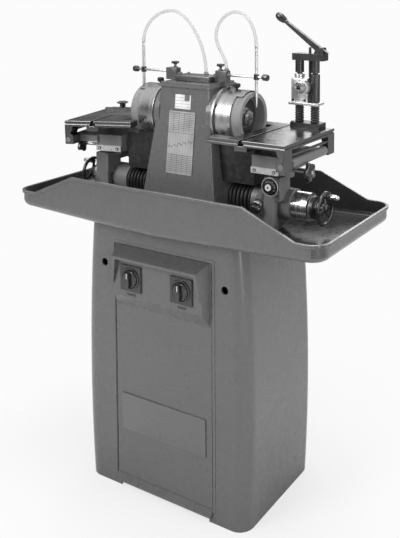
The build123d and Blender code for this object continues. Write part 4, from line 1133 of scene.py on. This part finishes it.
def pale_floor():
    """A wide pale floor that fades into the backdrop."""
    bm = bmesh.new()
    reach = 60
    corners = [bm.verts.new((x * reach, y * reach, 0))
               for x, y in ((-1, -1), (1, -1), (1, 1), (-1, 1))]
    bm.faces.new(corners)
    ink = Shader("pale_floor")
    distance = ink.node("VectorMath", {0: ink.spot()}, operation="LENGTH")
    far = ink.span(distance.outputs["Value"], 0.72, 1.0, 0.3, 1.3)
    camera_ray = ink.node("LightPath").outputs["Is Camera Ray"]
    ink.set(Base_Color=ink.mix(ink.noise(3, 3), 0.80, 0.82), Roughness=0.9)
    glow = ink.node("Emission", {"Color": BACKDROP})
    ink.overlay(ink.maths("MULTIPLY", far, camera_ray), ink.surface, glow)
    settle("floor", bm, ink.material)


def studio_world():
    """White to the camera; a softly banded studio to reflections; a grey fill for the rest."""
    world = bpy.data.worlds.new("studio")
    bpy.context.scene.world = world
    world.use_nodes = True
    tree = world.node_tree
    nodes, links = tree.nodes, tree.links
    nodes.clear()
    direction = nodes.new("ShaderNodeTexCoord").outputs["Generated"]
    parts = nodes.new("ShaderNodeSeparateXYZ")
    links.new(direction, parts.inputs[0])
    ramp = nodes.new("ShaderNodeValToRGB")
    height = nodes.new("ShaderNodeMapRange")
    height.inputs["From Min"].default_value = -1
    links.new(parts.outputs["Z"], height.inputs["Value"])
    links.new(height.outputs["Result"], ramp.inputs["Fac"])
    stops = ramp.color_ramp.elements
    for index, (where, level) in enumerate(STUDIO_BANDS):
        stop = stops[index] if index < 2 else stops.new(where)
        stop.position = where
        stop.color = (level, level, level, 1)
    shown, mirrored, fill = (nodes.new("ShaderNodeBackground") for _ in range(3))
    shown.inputs["Color"].default_value = (BACKDROP, BACKDROP, BACKDROP, 1)
    links.new(ramp.outputs["Color"], mirrored.inputs["Color"])
    fill.inputs["Color"].default_value = (FILL, FILL, FILL, 1)
    rays = nodes.new("ShaderNodeLightPath")
    picked = fill
    for ray, other in (("Is Glossy Ray", mirrored), ("Is Camera Ray", shown)):
        pick = nodes.new("ShaderNodeMixShader")
        links.new(rays.outputs[ray], pick.inputs[0])
        links.new(picked.outputs[0], pick.inputs[1])
        links.new(other.outputs[0], pick.inputs[2])
        picked = pick
    output = nodes.new("ShaderNodeOutputWorld")
    links.new(picked.outputs[0], output.inputs["Surface"])


def softbox(name, place, target, size, watts):
    """A large soft area light aimed at a point."""
    data = bpy.data.lights.new(name, "AREA")
    data.shape = "RECTANGLE"
    data.size, data.size_y = size
    data.energy = watts
    light = bpy.data.objects.new(name, data)
    bpy.context.scene.collection.objects.link(light)
    light.location = place
    light.rotation_mode = "QUATERNION"
    light.rotation_quaternion = (Vector(target) - Vector(place)).to_track_quat("-Z", "Y")


# Each soft light: its place, what it is aimed at, its size, in metres, and its watts.
SOFTBOXES = {
    "key": ((-1.3, -3.0, 3.0), (0, 0, 0.8), (1.6, 1.6), 95),
    "top": ((0.2, 0.2, 3.6), (0, 0, 1.0), (1.8, 1.2), 50),
    "right_edge": ((3.2, 0.3, 1.9), (0, 0, 0.9), (0.9, 2.0), 30),
    "corner_strip": ((3.0, -1.9, 0.9), (0.27, -0.17, 0.6), (0.30, 2.4), 30),
    "back": ((-0.6, 3.2, 2.6), (CAD_LOW + CAD_HIGH) / 2, (2.0, 1.4), 35),
}


# The view camera: level-sided, with its frame shifted down and across.
CAMERA_PLACE = (1.363, -1.872, 1.500)
CAMERA_TURN = (90 - 4.276, 0, 30.798)
CAMERA_LENS = 52.04
CAMERA_SHIFT = {"shift_x": -0.128, "shift_y": -0.4215}


def view_camera():
    """A camera whose shift holds only while it stands at its own place."""
    data = bpy.data.cameras.new("camera")
    data.lens = CAMERA_LENS
    camera = bpy.data.objects.new("camera", data)
    bpy.context.scene.collection.objects.link(camera)
    camera.location = CAMERA_PLACE
    camera.rotation_euler = [radians(angle) for angle in CAMERA_TURN]
    for name, amount in CAMERA_SHIFT.items():
        driver = data.driver_add(name).driver
        standing = driver.variables.new()
        standing.name = "y"
        standing.targets[0].id = camera
        standing.targets[0].data_path = "location[1]"
        driver.expression = f"{amount} if abs(y - {CAMERA_PLACE[1]}) < 0.01 else 0"
    bpy.context.scene.camera = camera


bpy.context.scene.view_settings.view_transform = "Standard"
dress_cad_nodes()
feed_bellows()
fixture_boots()
coolant_hoses()
manifold()
valves()
nozzle_arms()
guard_hardware()
handwheels()
star_knobs()
swivel_knobs()
lock_knobs()
switch_knobs()
mitre_knob()
lever_knob()
clamp_screws()
fixture_slide()
door_panel()
pale_floor()
studio_world()
for light_name, setting in SOFTBOXES.items():
    softbox(light_name, *setting)
view_camera()
